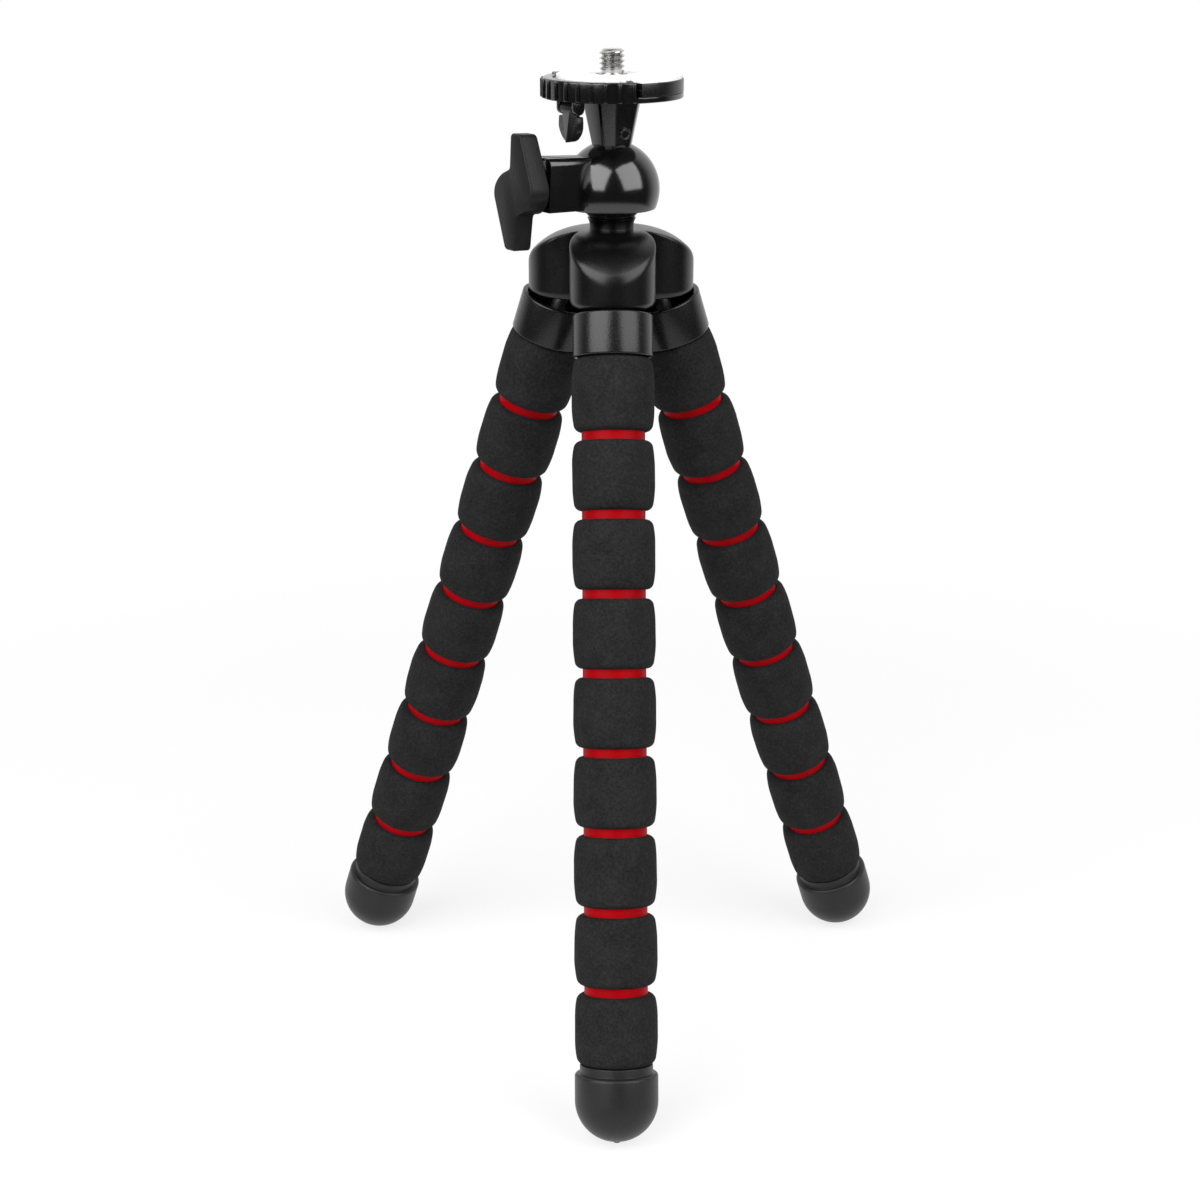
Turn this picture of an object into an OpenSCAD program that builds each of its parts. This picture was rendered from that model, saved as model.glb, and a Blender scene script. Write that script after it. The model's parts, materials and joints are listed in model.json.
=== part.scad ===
// Flexible leg tripod: three foam-sleeved legs, a lobed hub and a ball head with a quick-release plate.
// Millimetres, +Z up. The origin is on the floor, straight below the head; the front leg points to -Y.

/* [Legs] */
// Outside diameter of a foam sleeve
foam_d = 21; // [20:0.5:22]
// Length of a foam sleeve
foam_len = 17.6; // [15:0.1:20]
// Rounding of a foam sleeve's ends
foam_edge_r = 1.5; // [0.8:0.1:1.8]
// Length of the red band that shows between two sleeves
band_gap = 2.2; // [2:0.1:3.5]
// Outside diameter of the red inner tube
tube_d = 16; // [14:0.5:17]
// Diameter of the core wire
wire_d = 4; // [3:0.5:5]
// Swelling of the core wire where it bends
wire_swell = 0.2; // [0.1:0.05:0.3]
// Lean of a standing leg from the vertical, in degrees
leg_lean = 19; // [14:1:22]
// Distance of a leg's bend point from the head's axis
leg_bend_r = 13.6; // [13.4:0.1:14.2]

/* [Collars and feet] */
// Outside diameter of a leg's collar
collar_d = 20.2; // [19.8:0.1:20.8]
// Wall of the collar's cup
collar_wall = 1.4; // [1:0.1:1.5]
// Height of the collar
collar_h = 10.8; // [9:0.2:13]
// Thickness of the collar's floor
collar_floor = 2.5; // [1.5:0.5:4]
// Distance from a leg's bend point down to the collar's top
collar_drop = 4.7; // [4.6:0.1:5.4]
// Rounding of the collar's outer edges
collar_edge_r = 0.5; // [0.3:0.1:0.7]
// Diameter of the foot
foot_d = 21; // [19:0.5:22]
// Length of the foot's straight side above its round end
foot_side = 6.8; // [4:0.2:10]
// Diameter of the foot's neck below the last sleeve
foot_neck_d = 18.4; // [16:0.2:19]
// Depth of the core wire in the foot
foot_wire_depth = 6; // [3:0.5:10]

/* [Hub] */
// Height of the hub
hub_h = 17.8; // [16.5:0.1:19]
// Radius of the hub's flat top, which the stem stands on
hub_seat_r = 7.2; // [6.8:0.1:7.6]
// Radius of a lobe
lobe_r = 10.9; // [10.5:0.1:11.2]
// Distance of a lobe's centre from the head's axis
lobe_centre_r = 12.1; // [11.6:0.1:12.3]
// Rounding of a lobe's lower edge
lobe_edge_r = 2; // [1.8:0.1:2.4]
// Wall of the hub's shell
hub_wall = 2.2; // [1.6:0.1:3]
// Depth of the hollow in the hub
hub_hollow_h = 7; // [5:0.5:7.5]
// Height of a leg's bend point above the hub's underside
bend_above_hub = 2.7; // [2.4:0.1:2.8]
// Thickness of the hub's cover
cover_t = 2.2; // [1.5:0.1:3]
// Outside diameter of the tube in the hub that holds a wire
wire_post_d = 9; // [7.5:0.5:10]
// Length of wire held in the hub, above the bend point
wire_grip = 9; // [5:0.5:10]
// Diameter of a wire's mouth in the cover
wire_mouth_d = 7.6; // [7:0.1:8]
// Outside diameter of the hub's middle post
hub_post_d = 11; // [9:0.5:12]
// Diameter of the bolt that holds the ball
bolt_d = 5; // [4:0.5:5]
// Diameter of that bolt's head
bolt_head_d = 8; // [7:0.5:9]
// Height of that bolt's head
bolt_head_h = 1.6; // [1:0.1:1.7]
// Depth of that bolt in the ball, above the ball's centre
bolt_in_ball = 4; // [1:0.5:6]

/* [Ball joint] */
// Diameter of the ball
ball_d = 18; // [17:0.2:18.6]
// Height of the ball's centre above the hub's flat top
ball_rise = 9.8; // [9.6:0.1:11]
// Distance from the ball's centre down to its flat underside
ball_flat = 7; // [6.8:0.1:7.4]
// Outside diameter of the socket
socket_d = 24.4; // [24:0.2:25]
// Distance from the ball's centre down to the socket's rim
socket_rim = 4.8; // [4.5:0.1:5]
// Diameter of the stem
stem_d = 10.8; // [10:0.1:11]
// Diameter of the flare at the stem's top
flare_d = 12.4; // [11.6:0.1:12.6]
// Height of that flare
flare_h = 1.3; // [0.8:0.1:1.6]
// Turn of the head about the vertical, in degrees
head_turn = 35; // [20:1:45]

/* [Clamp] */
// Rise of the clamp's axis towards the knob, in degrees
clamp_lean = 3; // [0:1:6]
// Width of the socket's clamp boss
boss_w = 10.4; // [10:0.1:11]
// Height of the boss's flat top above the ball's centre
boss_top = 8.4; // [8:0.1:8.8]
// Rounding of the boss's upper edges
boss_edge_r = 1.8; // [1.4:0.1:2.2]
// Distance from the ball's centre to the boss's end
boss_end = 22.6; // [22:0.1:23]
// Width of a groove along the boss's top
boss_groove_w = 1.2; // [0.8:0.1:1.4]
// Depth of that groove
boss_groove_d = 0.7; // [0.4:0.1:1]
// Distance of that groove from the boss's middle
boss_groove_y = 1.7; // [1.5:0.1:1.9]
// Diameter of the clamp screw
lock_screw_d = 4; // [3.5:0.5:4]
// Diameter of the brake shoe
shoe_d = 7; // [6.6:0.1:8]
// Thickness of the brake shoe
shoe_t = 2; // [1.5:0.1:2.5]
// Width of the lock nut across its flats
nut_af = 7; // [6.6:0.1:7.2]
// Thickness of the lock nut
nut_t = 3; // [2:0.2:3]
// Depth of the lock nut below the boss's end
nut_recess = 1.2; // [0.4:0.1:2]
// Half of the wing knob's length
knob_reach = 14.3; // [13.8:0.1:14.6]
// Radius of the wing knob's rounds
knob_r = 8.6; // [8:0.1:9]
// Width of a wing's tip
wing_tip_w = 4.4; // [4:0.1:5]
// Distance of a wing's straight side from the knob's middle
wing_side = 1.7; // [1.3:0.1:2.1]
// Chamfer of a wing's tip
wing_corner = 0.8; // [0.4:0.1:1.2]
// Step from a wing's slanted side to the round
wing_bite = 0.2; // [0.1:0.05:0.4]
// Height on the wing at which its slanted side meets the round
wing_root = 1; // [0.6:0.1:1.4]
// Offset of the round's centre along the wing
round_rise = 2.9; // [2.5:0.1:3.3]
// Offset of the round's centre to the side
round_side = 0.3; // [0:0.1:0.5]
// Thickness of the wing knob
knob_t = 5.6; // [5:0.1:7]
// Gap between the clamp boss and the knob
knob_gap = 0.4; // [0.3:0.1:0.8]
// Length of the knob's round boss
knob_boss_l = 1.8; // [1.4:0.1:3]
// Diameter of the knob's round boss
knob_boss_d = 11; // [9:0.5:12]
// Depth of the screw in the knob
screw_in_knob = 5; // [4:0.1:5]

/* [Plate holder] */
// Height of the tray's underside above the ball's centre
tray_rise = 22.9; // [22.6:0.1:24.5]
// Diameter of the tray
tray_d = 36; // [35:0.5:37]
// Thickness of the tray's floor
tray_floor = 1.4; // [1.2:0.1:2]
// Height of the ribbed rim above the tray's floor
rim_h = 3.6; // [3.4:0.1:4.2]
// Thickness of the ribbed rim
rim_t = 2; // [1.6:0.1:2.4]
// Overhang of the rim's lip over the plate's flange
rim_lip = 0.6; // [0.4:0.1:0.8]
// Height of that lip
rim_lip_h = 1.5; // [1.2:0.1:1.6]
// Angle that the ribbed rim spans, in degrees
rim_span = 140; // [120:4:156]
// Angle left free between the rim's end and the plate's wide side, in degrees
rim_end_gap = 4; // [3:1:8]
// Direction of the rim's middle from the knob's direction, in degrees
rim_turn = 2; // [0:1:20]
// Diameter of a rib on the rim
rib_d = 1.2; // [0.8:0.1:1.4]
// Number of gaps between the rim's ribs
rib_gaps = 12; // [8:1:14]
// Width of the neck across its flats, at the tray
neck_top_w = 13.4; // [12.6:0.1:14]
// Width of the neck across its flats, at the socket
neck_bottom_w = 9.4; // [9:0.1:10.5]
// Width that the neck's corners are cut to, as a share of the width across the flats
neck_corner_cut = 1.1; // [1.05:0.01:1.2]

/* [Release lever] */
// Width of the lever
lever_w = 8.2; // [7.8:0.1:8.6]
// Length of the lever below its pin
lever_l = 8.4; // [7.5:0.1:9]
// Thickness of the lever
lever_t = 2.6; // [2:0.1:3]
// Distance of the lever's pin from the head's axis
lever_r = 13; // [12.8:0.1:13.4]
// Distance of the pin below the tray
lever_drop = 1.9; // [1.7:0.1:2.1]
// Radius of the lever's barrel
lever_barrel_r = 1.6; // [1.4:0.1:1.7]
// Length of the lever's barrel, between the tray's ears
lever_barrel_w = 5; // [4.6:0.1:5.2]
// Rise of the lever's cam above its barrel
cam_rise = 1.4; // [1.1:0.1:1.4]
// Diameter of the lever's pin
lever_pin_d = 1.6; // [1.2:0.1:1.8]
// Thickness of an ear that holds the pin
lever_ear_t = 1.2; // [1:0.1:1.4]

/* [Camera plate] */
// Height of the plate without its pad
plate_h = 3.3; // [3.2:0.1:4]
// Height of the flange that the rim's lip holds
flange_h = 1.6; // [1.4:0.1:1.7]
// Thickness of the pad
pad_t = 0.9; // [0.6:0.1:1.4]
// Margin from the plate's edge to the pad
pad_margin = 0.7; // [0.4:0.1:1.2]
// Height of the screw above the pad
screw_out = 6.1; // [5.5:0.1:7.5]
// Diameter of the camera screw, a quarter of an inch
screw_d = 6.35; // [6.3:0.05:6.4]
// Pitch of the camera screw, twenty turns to the inch
screw_pitch = 1.27; // [1.2:0.01:1.3]
// Depth of the camera screw's thread
screw_thread_depth = 0.55; // [0.4:0.05:0.7]
// Diameter of the camera screw's head
screw_head_d = 13; // [11:0.5:14]
// Thickness of the camera screw's head
screw_head_t = 1.8; // [1.4:0.1:2]
// Width of the slot in that head
screw_slot_w = 1.6; // [1:0.1:2]
// Depth of that slot
screw_slot_depth = 1; // [0.6:0.1:1.2]
// Diameter of the camera screw's smooth shoulder, which turns in the plate
shoulder_d = 7; // [6.8:0.1:7.6]
// Height of that shoulder above the pad
shoulder_h = 0.2; // [0.1:0.05:0.4]

/* [Fits] */
// Radial clearance of a turning or sliding fit
run_clear = 0.06; // [0.05:0.01:0.1]
// Gap between flat faces that move on each other
face_gap = 0.05; // [0.03:0.01:0.1]
// Gap between a soft piece and what it is pushed over
soft_clear = 0.15; // [0.1:0.05:0.3]
// Room around a piece that only passes through
pass_clear = 0.4; // [0.3:0.1:0.8]

/* [Hidden] */
$fn = 96;
LEGS = ["front", "left", "right"];
LEG_AZIMUTHS = [270, 150, 30];
SLEEVES = 9;
HEAD_NODES = ["hub_shell", "hub_cover", "head_bolt", "ball_stem", "ball", "ball_socket", "lock_knob",
    "lock_screw", "lock_nut", "brake_shoe", "plate_holder", "release_lever", "lever_pin",
    "quick_release_plate", "plate_pad", "camera_screw"];
FOAM_PIECES = [for (i = [1:SLEEVES]) str("foam_", i)];
LEG_PIECES = concat(["collar", "core_wire", "inner_tube"], FOAM_PIECES, ["foot"]);

// Cuts reach this far past a face, so that no skin is left.
over = 1;
pitch = foam_len + band_gap;
foam_r = foam_d / 2;
tube_r = tube_d / 2;
wire_r = wire_d / 2;
foot_r = foot_d / 2;
collar_r = collar_d / 2;
// Distances down a leg from its bend point
leg_top = collar_drop + collar_h;
leg_bottom = leg_top + SLEEVES * pitch - band_gap / 2;
foot_centre = leg_bottom + band_gap + foot_side;
// Heights above the floor
bend_z = foot_r + foot_centre * cos(leg_lean);
hub_z = bend_z - bend_above_hub;
hub_top = hub_z + hub_h;
ball_z = hub_top + ball_rise;
tray_z = ball_z + tray_rise;
plate_z = tray_z + tray_floor + face_gap;
pad_z = plate_z + plate_h;
pad_top = pad_z + pad_t;
screw_top = pad_top + screw_out;
// Radii of the ball joint
ball_r = ball_d / 2;
socket_r = socket_d / 2;
seat_r = ball_r + run_clear;
slot_r = max(flare_d / 2 + pass_clear, sqrt(pow(socket_r, 2) - pow(ball_rise - pass_clear, 2)));
// Places along the clamp's axis, measured from the ball's centre
shoe_near = sqrt(pow(ball_r, 2) - pow(shoe_d / 2, 2));
shoe_far = ball_r + shoe_t;
nut_far = boss_end - nut_recess;
knob_near = boss_end + knob_gap;
knob_face = knob_near + knob_boss_l;
screw_far = knob_near + screw_in_knob;
// Radii of the tray and plate
rim_outer_r = tray_d / 2 - rib_d / 2;
rim_inner_r = rim_outer_r - rim_t;
flange_r = rim_inner_r - pass_clear;
lip_inner_r = rim_inner_r - rim_lip;
plate_neck_r = lip_inner_r - pass_clear;
plate_wide_r = tray_d / 2;
rim_middle = 180 + rim_turn;
narrow_half = rim_span / 2 + rim_end_gap;

// Places children in a leg's frame: +X points outwards, and the leg runs down -Z from its bend point.
module on_leg(leg) {
    azimuth = LEG_AZIMUTHS[search([leg], LEGS)[0]];
    rotate([0, 0, azimuth])
        translate([leg_bend_r, 0, bend_z])
            children();
}

// Leans children outwards with the leg.
module leaning(leg) {
    on_leg(leg) rotate([0, -leg_lean, 0]) children();
}

// Places children in the head's frame, at the ball's centre, with the knob on -X.
module on_head() {
    rotate([0, 0, head_turn]) translate([0, 0, ball_z]) children();
}

// Turns children from the Z axis to the clamp's axis, so that +Z runs outwards to the knob.
module along_clamp() {
    rotate([0, clamp_lean - 90, 0]) children();
}

// Revolved ring with rounded outer edges, from z = 0 down to -length.
module rounded_ring(outer_r, inner_r, length, edge_r) {
    rotate_extrude() {
        difference() {
            union() {
                translate([inner_r, -length])
                    square([outer_r - edge_r - inner_r, length]);
                translate([inner_r, -length + edge_r])
                    square([outer_r - inner_r, length - 2 * edge_r]);
                for (y = [-edge_r, edge_r - length])
                    translate([outer_r - edge_r, y]) circle(edge_r);
            }
            translate([inner_r - 2 * outer_r, -length - over])
                square([2 * outer_r, length + 2 * over]);
        }
    }
}

// Plan of the hub: three round lobes around a middle disc.
module lobes_plan(inset) {
    circle(lobe_centre_r - lobe_edge_r - inset);
    for (azimuth = LEG_AZIMUTHS)
        rotate(azimuth) translate([lobe_centre_r, 0]) circle(lobe_r - inset);
}

// One lobe, upright, with a rounded lower edge.
module lobe_column(height) {
    translate([lobe_centre_r, 0, 0])
        mirror([0, 0, 1]) rounded_ring(lobe_r, 0, height + lobe_edge_r, lobe_edge_r);
}

module hub_outside() {
    intersection() {
        rotate_extrude() {
            square([hub_seat_r, hub_h]);
            intersection() {
                translate([hub_seat_r, 0]) circle(hub_h);
                square([hub_seat_r + hub_h, hub_h]);
            }
        }
        union() {
            cylinder(r = lobe_centre_r - lobe_edge_r, h = hub_h);
            for (azimuth = LEG_AZIMUTHS) rotate([0, 0, azimuth]) lobe_column(hub_h);
        }
    }
}

module hub_shell() {
    color("#141416")
    translate([0, 0, hub_z])
    difference() {
        hub_outside();
        difference() {
            translate([0, 0, -over])
                linear_extrude(hub_hollow_h + over) lobes_plan(hub_wall);
            translate([0, 0, cover_t + face_gap]) {
                cylinder(d = hub_post_d, h = hub_h);
                for (azimuth = LEG_AZIMUTHS)
                    rotate([0, 0, azimuth]) translate([leg_bend_r, 0, 0])
                        cylinder(d = wire_post_d, h = hub_h);
            }
        }
        translate([0, 0, -over])
            cylinder(r = bolt_d / 2 + run_clear, h = hub_h + 2 * over);
        for (azimuth = LEG_AZIMUTHS)
            rotate([0, 0, azimuth]) translate([leg_bend_r, 0, -over])
                cylinder(r = wire_r + soft_clear, h = over + bend_above_hub + wire_grip + pass_clear);
        for (azimuth = LEG_AZIMUTHS)
            rotate([0, 0, azimuth]) translate([leg_bend_r, 0, 0])
                cylinder(d1 = wire_mouth_d, d2 = wire_d, h = bend_above_hub + wire_r);
    }
}

module hub_cover() {
    color("#1b1b1d")
    translate([0, 0, hub_z])
    difference() {
        linear_extrude(cover_t) lobes_plan(hub_wall + soft_clear);
        translate([0, 0, -over])
            cylinder(r = bolt_d / 2 + run_clear, h = cover_t + 2 * over);
        for (azimuth = LEG_AZIMUTHS)
            rotate([0, 0, azimuth]) translate([leg_bend_r, 0, -over])
                cylinder(d = wire_mouth_d, h = cover_t + 2 * over);
    }
}

module head_bolt() {
    color("#b9bcc0") {
        translate([0, 0, hub_z - bolt_head_h]) cylinder(d = bolt_head_d, h = bolt_head_h);
        translate([0, 0, hub_z]) cylinder(d = bolt_d, h = ball_z + bolt_in_ball - hub_z);
    }
}

module ball_stem() {
    stem_h = ball_rise - ball_flat - face_gap;
    color("#161618")
    translate([0, 0, hub_top])
    difference() {
        union() {
            cylinder(d = stem_d, h = stem_h);
            translate([0, 0, stem_h - flare_h]) cylinder(d1 = stem_d, d2 = flare_d, h = flare_h);
        }
        translate([0, 0, -over]) cylinder(r = bolt_d / 2 + run_clear, h = stem_h + 2 * over);
    }
}

module ball() {
    color("#8d9095")
    translate([0, 0, ball_z])
    difference() {
        sphere(ball_r);
        translate([0, 0, -ball_flat - ball_d / 2]) cube([ball_d, ball_d, ball_d], center = true);
        translate([0, 0, -ball_r])
            cylinder(r = bolt_d / 2 + run_clear, h = ball_r + bolt_in_ball + pass_clear);
    }
}

// Hexagon prism for the nut and its pocket, from z = 0, with flats above and below in the boss.
module hexagon(across_flats, height) {
    rotate(30) cylinder(d = across_flats / cos(30), h = height, $fn = 6);
}

// Clamp boss: a block with a flat top and rounded upper edges, along the clamp's axis.
module boss_block() {
    side = boss_w / 2;
    height = socket_rim + boss_top;
    along_clamp() linear_extrude(boss_end) {
        translate([-socket_rim, -side]) square([height - boss_edge_r, boss_w]);
        translate([-socket_rim, boss_edge_r - side]) square([height, boss_w - 2 * boss_edge_r]);
        for (edge = [-1, 1])
            translate([boss_top - boss_edge_r, edge * (side - boss_edge_r)]) circle(boss_edge_r);
    }
}

module ball_socket() {
    groove_near = sqrt(pow(socket_r, 2) - pow(boss_top, 2));
    color("#121214")
    on_head()
    difference() {
        union() {
            sphere(socket_r);
            boss_block();
        }
        sphere(seat_r);
        translate([-boss_end - over, -socket_d / 2, -socket_rim - socket_d])
            cube([boss_end + over + socket_d, socket_d, socket_d]);
        rotate([-90, 0, 0]) cylinder(r = slot_r, h = socket_d);
        translate([-slot_r, 0, -socket_d]) cube([2 * slot_r, socket_d, socket_d]);
        along_clamp() {
            cylinder(r = shoe_d / 2 + run_clear, h = shoe_far + over);
            cylinder(r = lock_screw_d / 2 + run_clear, h = boss_end + over);
            translate([0, 0, nut_far - nut_t]) hexagon(nut_af + 2 * soft_clear, boss_end);
            for (side = [-1, 1])
                translate([boss_top - boss_groove_d, side * boss_groove_y - boss_groove_w / 2, groove_near])
                    cube([boss_top, boss_groove_w, boss_end]);
        }
    }
}

module lock_nut() {
    color("#c2c4c8")
    on_head() along_clamp() translate([0, 0, nut_far - nut_t])
    difference() {
        hexagon(nut_af, nut_t);
        translate([0, 0, -over]) cylinder(r = lock_screw_d / 2 + run_clear, h = nut_t + 2 * over);
    }
}

module lock_screw() {
    color("#b9bcc0")
    on_head() along_clamp() translate([0, 0, shoe_far])
        cylinder(d = lock_screw_d, h = screw_far - shoe_far);
}

module brake_shoe() {
    color("#d8d4c4")
    on_head()
    difference() {
        along_clamp() translate([0, 0, shoe_near]) cylinder(d = shoe_d, h = shoe_far - shoe_near);
        sphere(seat_r);
    }
}

// Half of the knob's outline, with its wing along +Y: one side of the wing is straight, and the other
// runs out to a round that ends at the straight side of the opposite wing.
module wing_plan() {
    tip = [wing_tip_w - wing_side, knob_reach - wing_corner];
    root = [round_side + sqrt(pow(knob_r, 2) - pow(round_rise - wing_root, 2)), wing_root];
    polygon([[0, -wing_root], [-wing_side, 0], [-wing_side, tip.y], [wing_corner - wing_side, knob_reach],
        [tip.x - wing_corner, knob_reach], tip, root + [wing_bite, 0], root - [wing_corner, 2 * wing_corner]]);
    intersection() {
        translate([round_side, round_rise]) circle(knob_r);
        translate([0, -knob_r]) square([2 * knob_r, knob_r + wing_root + wing_bite]);
    }
}

module lock_knob() {
    color("#2b2b2e")
    on_head() along_clamp() translate([0, 0, knob_near])
    difference() {
        union() {
            cylinder(d = knob_boss_d, h = knob_boss_l);
            translate([0, 0, knob_boss_l]) linear_extrude(knob_t)
                for (turn = [90, 270]) rotate(turn) wing_plan();
        }
        translate([0, 0, -over])
            cylinder(r = lock_screw_d / 2 + run_clear, h = screw_in_knob + 2 * over);
    }
}

// Pyramid stump between two widths across the flats, with its narrow end down.
module tapered_block(bottom_w, top_w, height) {
    profile = [[-bottom_w / 2, 0], [bottom_w / 2, 0], [top_w / 2, height], [-top_w / 2, height]];
    intersection() {
        rotate([90, 0, 0]) linear_extrude(2 * top_w, center = true) polygon(profile);
        rotate([90, 0, 90]) linear_extrude(2 * top_w, center = true) polygon(profile);
    }
}

// Wedge of the plan around the middle of the ribbed rim, wide enough to hold the whole tray.
module rim_sector(half_angle) {
    reach = 2 * tray_d;
    middle = rim_middle;
    polygon([[0, 0], for (part = [-1, -0.5, 0, 0.5, 1])
        [reach * cos(middle + part * half_angle), reach * sin(middle + part * half_angle)]]);
}

// Places children at the lever's pin, with +X away from the head's axis and +Y along the pin.
module at_lever() {
    on_head() rotate([0, 0, rim_middle]) translate([lever_r, 0, tray_rise - lever_drop]) children();
}

module plate_holder() {
    neck_h = tray_rise - socket_r + over;
    taper = (neck_top_w - neck_bottom_w) / (tray_rise - socket_r);
    start_w = neck_bottom_w - taper * over;
    ear_w = lever_barrel_w + 2 * face_gap;
    cam_sweep = sqrt(pow(lever_barrel_r + cam_rise, 2) - pow(lever_drop, 2));
    color("#131315") {
        difference() {
            on_head() difference() {
                union() {
                    translate([0, 0, tray_rise])
                        linear_extrude(tray_floor) plate_plan(rim_outer_r, plate_wide_r);
                    translate([0, 0, socket_r - over]) intersection() {
                        tapered_block(start_w, neck_top_w, neck_h);
                        rotate([0, 0, 45])
                            tapered_block(start_w * neck_corner_cut, neck_top_w * neck_corner_cut, neck_h);
                    }
                    translate([0, 0, tray_rise]) ribbed_rim();
                }
                sphere(socket_r + face_gap);
            }
            at_lever() translate([-cam_sweep - pass_clear, -ear_w / 2, 0])
                cube([cam_sweep + lever_barrel_r + 2 * pass_clear, ear_w, lever_drop + tray_floor + over]);
        }
        at_lever() lever_ears(ear_w);
    }
}

// Two ears under the tray that hold the lever's pin.
module lever_ears(gap) {
    ear_r = lever_barrel_r;
    for (side = [-1, 1])
        translate([0, side * (gap + lever_ear_t) / 2, 0]) difference() {
            union() {
                rotate([90, 0, 0]) cylinder(r = ear_r, h = lever_ear_t, center = true);
                translate([-ear_r, -lever_ear_t / 2, 0]) cube([2 * ear_r, lever_ear_t, lever_drop]);
            }
            rotate([90, 0, 0])
                cylinder(r = lever_pin_d / 2 + run_clear, h = lever_ear_t + 2 * over, center = true);
        }
}

// Raised rim on the tray's knob side: a wall with a lip over the plate's flange, and ribs outside.
module ribbed_rim() {
    rim_top = tray_floor + rim_h;
    linear_extrude(rim_top) intersection() {
        difference() {
            circle(rim_outer_r);
            circle(rim_inner_r);
        }
        rim_sector(rim_span / 2);
    }
    translate([0, 0, rim_top - rim_lip_h]) linear_extrude(rim_lip_h) intersection() {
        difference() {
            circle(rim_outer_r - rim_t / 2);
            circle(lip_inner_r);
        }
        rim_sector(rim_span / 2);
    }
    for (i = [0:rib_gaps])
        rotate([0, 0, rim_middle + rim_span * (i / rib_gaps - 1 / 2)])
            translate([rim_outer_r, 0, 0]) cylinder(d = rib_d, h = rim_top);
}

module release_lever() {
    tip_r = lever_w / 2;
    blade_x = lever_barrel_r - lever_t / 2;
    shank_l = lever_barrel_r + pass_clear;
    cam_w = lever_barrel_w / 2;
    color("#18181a")
    at_lever() difference() {
        union() {
            rotate([90, 0, 0]) cylinder(r = lever_barrel_r, h = lever_barrel_w, center = true);
            translate([blade_x - lever_t / 2, 0, 0]) rotate([0, 90, 0]) linear_extrude(lever_t) {
                translate([0, -lever_barrel_w / 2]) square([lever_l - tip_r, lever_barrel_w]);
                intersection() {
                    translate([lever_l - tip_r, 0]) circle(tip_r);
                    translate([shank_l, -tip_r]) square([lever_l, lever_w]);
                }
            }
            rotate([90, 0, 0]) linear_extrude(cam_w, center = true)
                translate([0, cam_rise]) circle(lever_barrel_r);
            translate([-lever_barrel_r, -cam_w / 2, 0]) cube([2 * lever_barrel_r, cam_w, cam_rise]);
        }
        rotate([90, 0, 0])
            cylinder(r = lever_pin_d / 2 + run_clear, h = lever_barrel_w + 2 * over, center = true);
    }
}

module lever_pin() {
    color("#b9bcc0")
    at_lever() rotate([90, 0, 0])
        cylinder(d = lever_pin_d, h = lever_barrel_w + 2 * lever_ear_t, center = true);
}

// Plan of the plate: wide on the open side, and inside the ribbed rim on the other.
module plate_plan(rim_side_r, open_side_r) {
    circle(rim_side_r);
    difference() {
        circle(open_side_r);
        rim_sector(narrow_half);
    }
}

module quick_release_plate() {
    color("#1a1a1c")
    rotate([0, 0, head_turn]) translate([0, 0, plate_z])
    difference() {
        union() {
            linear_extrude(flange_h) plate_plan(flange_r, plate_wide_r);
            linear_extrude(plate_h) plate_plan(plate_neck_r, plate_wide_r);
        }
        translate([0, 0, -over]) cylinder(d = shoulder_d + 2 * run_clear, h = plate_h + 2 * over);
        translate([0, 0, -over])
            cylinder(r = screw_head_d / 2 + pass_clear, h = screw_head_t + 2 * face_gap + over);
    }
}

module plate_pad() {
    color("#f2f1ee")
    rotate([0, 0, head_turn]) translate([0, 0, pad_z])
    difference() {
        linear_extrude(pad_t) plate_plan(plate_neck_r - pad_margin, plate_wide_r - pad_margin);
        translate([0, 0, -over]) cylinder(r = shoulder_d / 2 + pass_clear, h = pad_t + 2 * over);
    }
}

module camera_screw() {
    screw_r = screw_d / 2;
    root_r = screw_r - screw_thread_depth;
    head_z = plate_z + face_gap;
    thread_z = pad_top + shoulder_h;
    thread_end = screw_top - screw_thread_depth;
    groove_half = screw_pitch / 3;
    cut_half = groove_half * (1 + over / screw_thread_depth);
    grooves = floor((thread_end - thread_z) / screw_pitch);
    color("#c9cbce") difference() {
        union() {
            translate([0, 0, head_z]) cylinder(d = screw_head_d, h = screw_head_t);
            translate([0, 0, head_z]) cylinder(d = shoulder_d, h = thread_z - head_z);
            translate([0, 0, head_z]) cylinder(r = screw_r, h = thread_end - head_z);
            translate([0, 0, thread_end]) cylinder(r1 = screw_r, r2 = root_r, h = screw_thread_depth);
        }
        for (i = [1:grooves])
            translate([0, 0, thread_z + screw_pitch * i - groove_half]) rotate_extrude()
                polygon([[screw_r + over, -cut_half], [root_r, 0], [screw_r + over, cut_half]]);
        translate([-screw_head_d, -screw_slot_w / 2, head_z - over])
            cube([2 * screw_head_d, screw_slot_w, screw_slot_depth + over]);
    }
}

module leg_collar(leg) {
    color("#1c1c1e")
    leaning(leg) translate([0, 0, -collar_drop]) difference() {
        rounded_ring(collar_r, wire_r + soft_clear, collar_h, collar_edge_r);
        translate([0, 0, collar_floor - collar_h]) cylinder(r = collar_r - collar_wall, h = collar_h);
    }
}

// Core wire: upright in the hub, bent at the bend point, then straight down the leg into the foot.
module leg_core_wire(leg) {
    wire_end = leg_bottom + foot_wire_depth;
    color("#9a9ca0") {
        on_leg(leg) cylinder(r = wire_r, h = wire_grip);
        on_leg(leg) sphere(wire_r + wire_swell);
        leaning(leg) translate([0, 0, -wire_end]) cylinder(r = wire_r, h = wire_end);
    }
}

module leg_inner_tube(leg) {
    color("#d8121a")
    leaning(leg) translate([0, 0, -leg_bottom]) difference() {
        cylinder(r = tube_r, h = leg_bottom - leg_top);
        translate([0, 0, -over]) cylinder(r = wire_r + soft_clear, h = leg_bottom - leg_top + 2 * over);
    }
}

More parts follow.
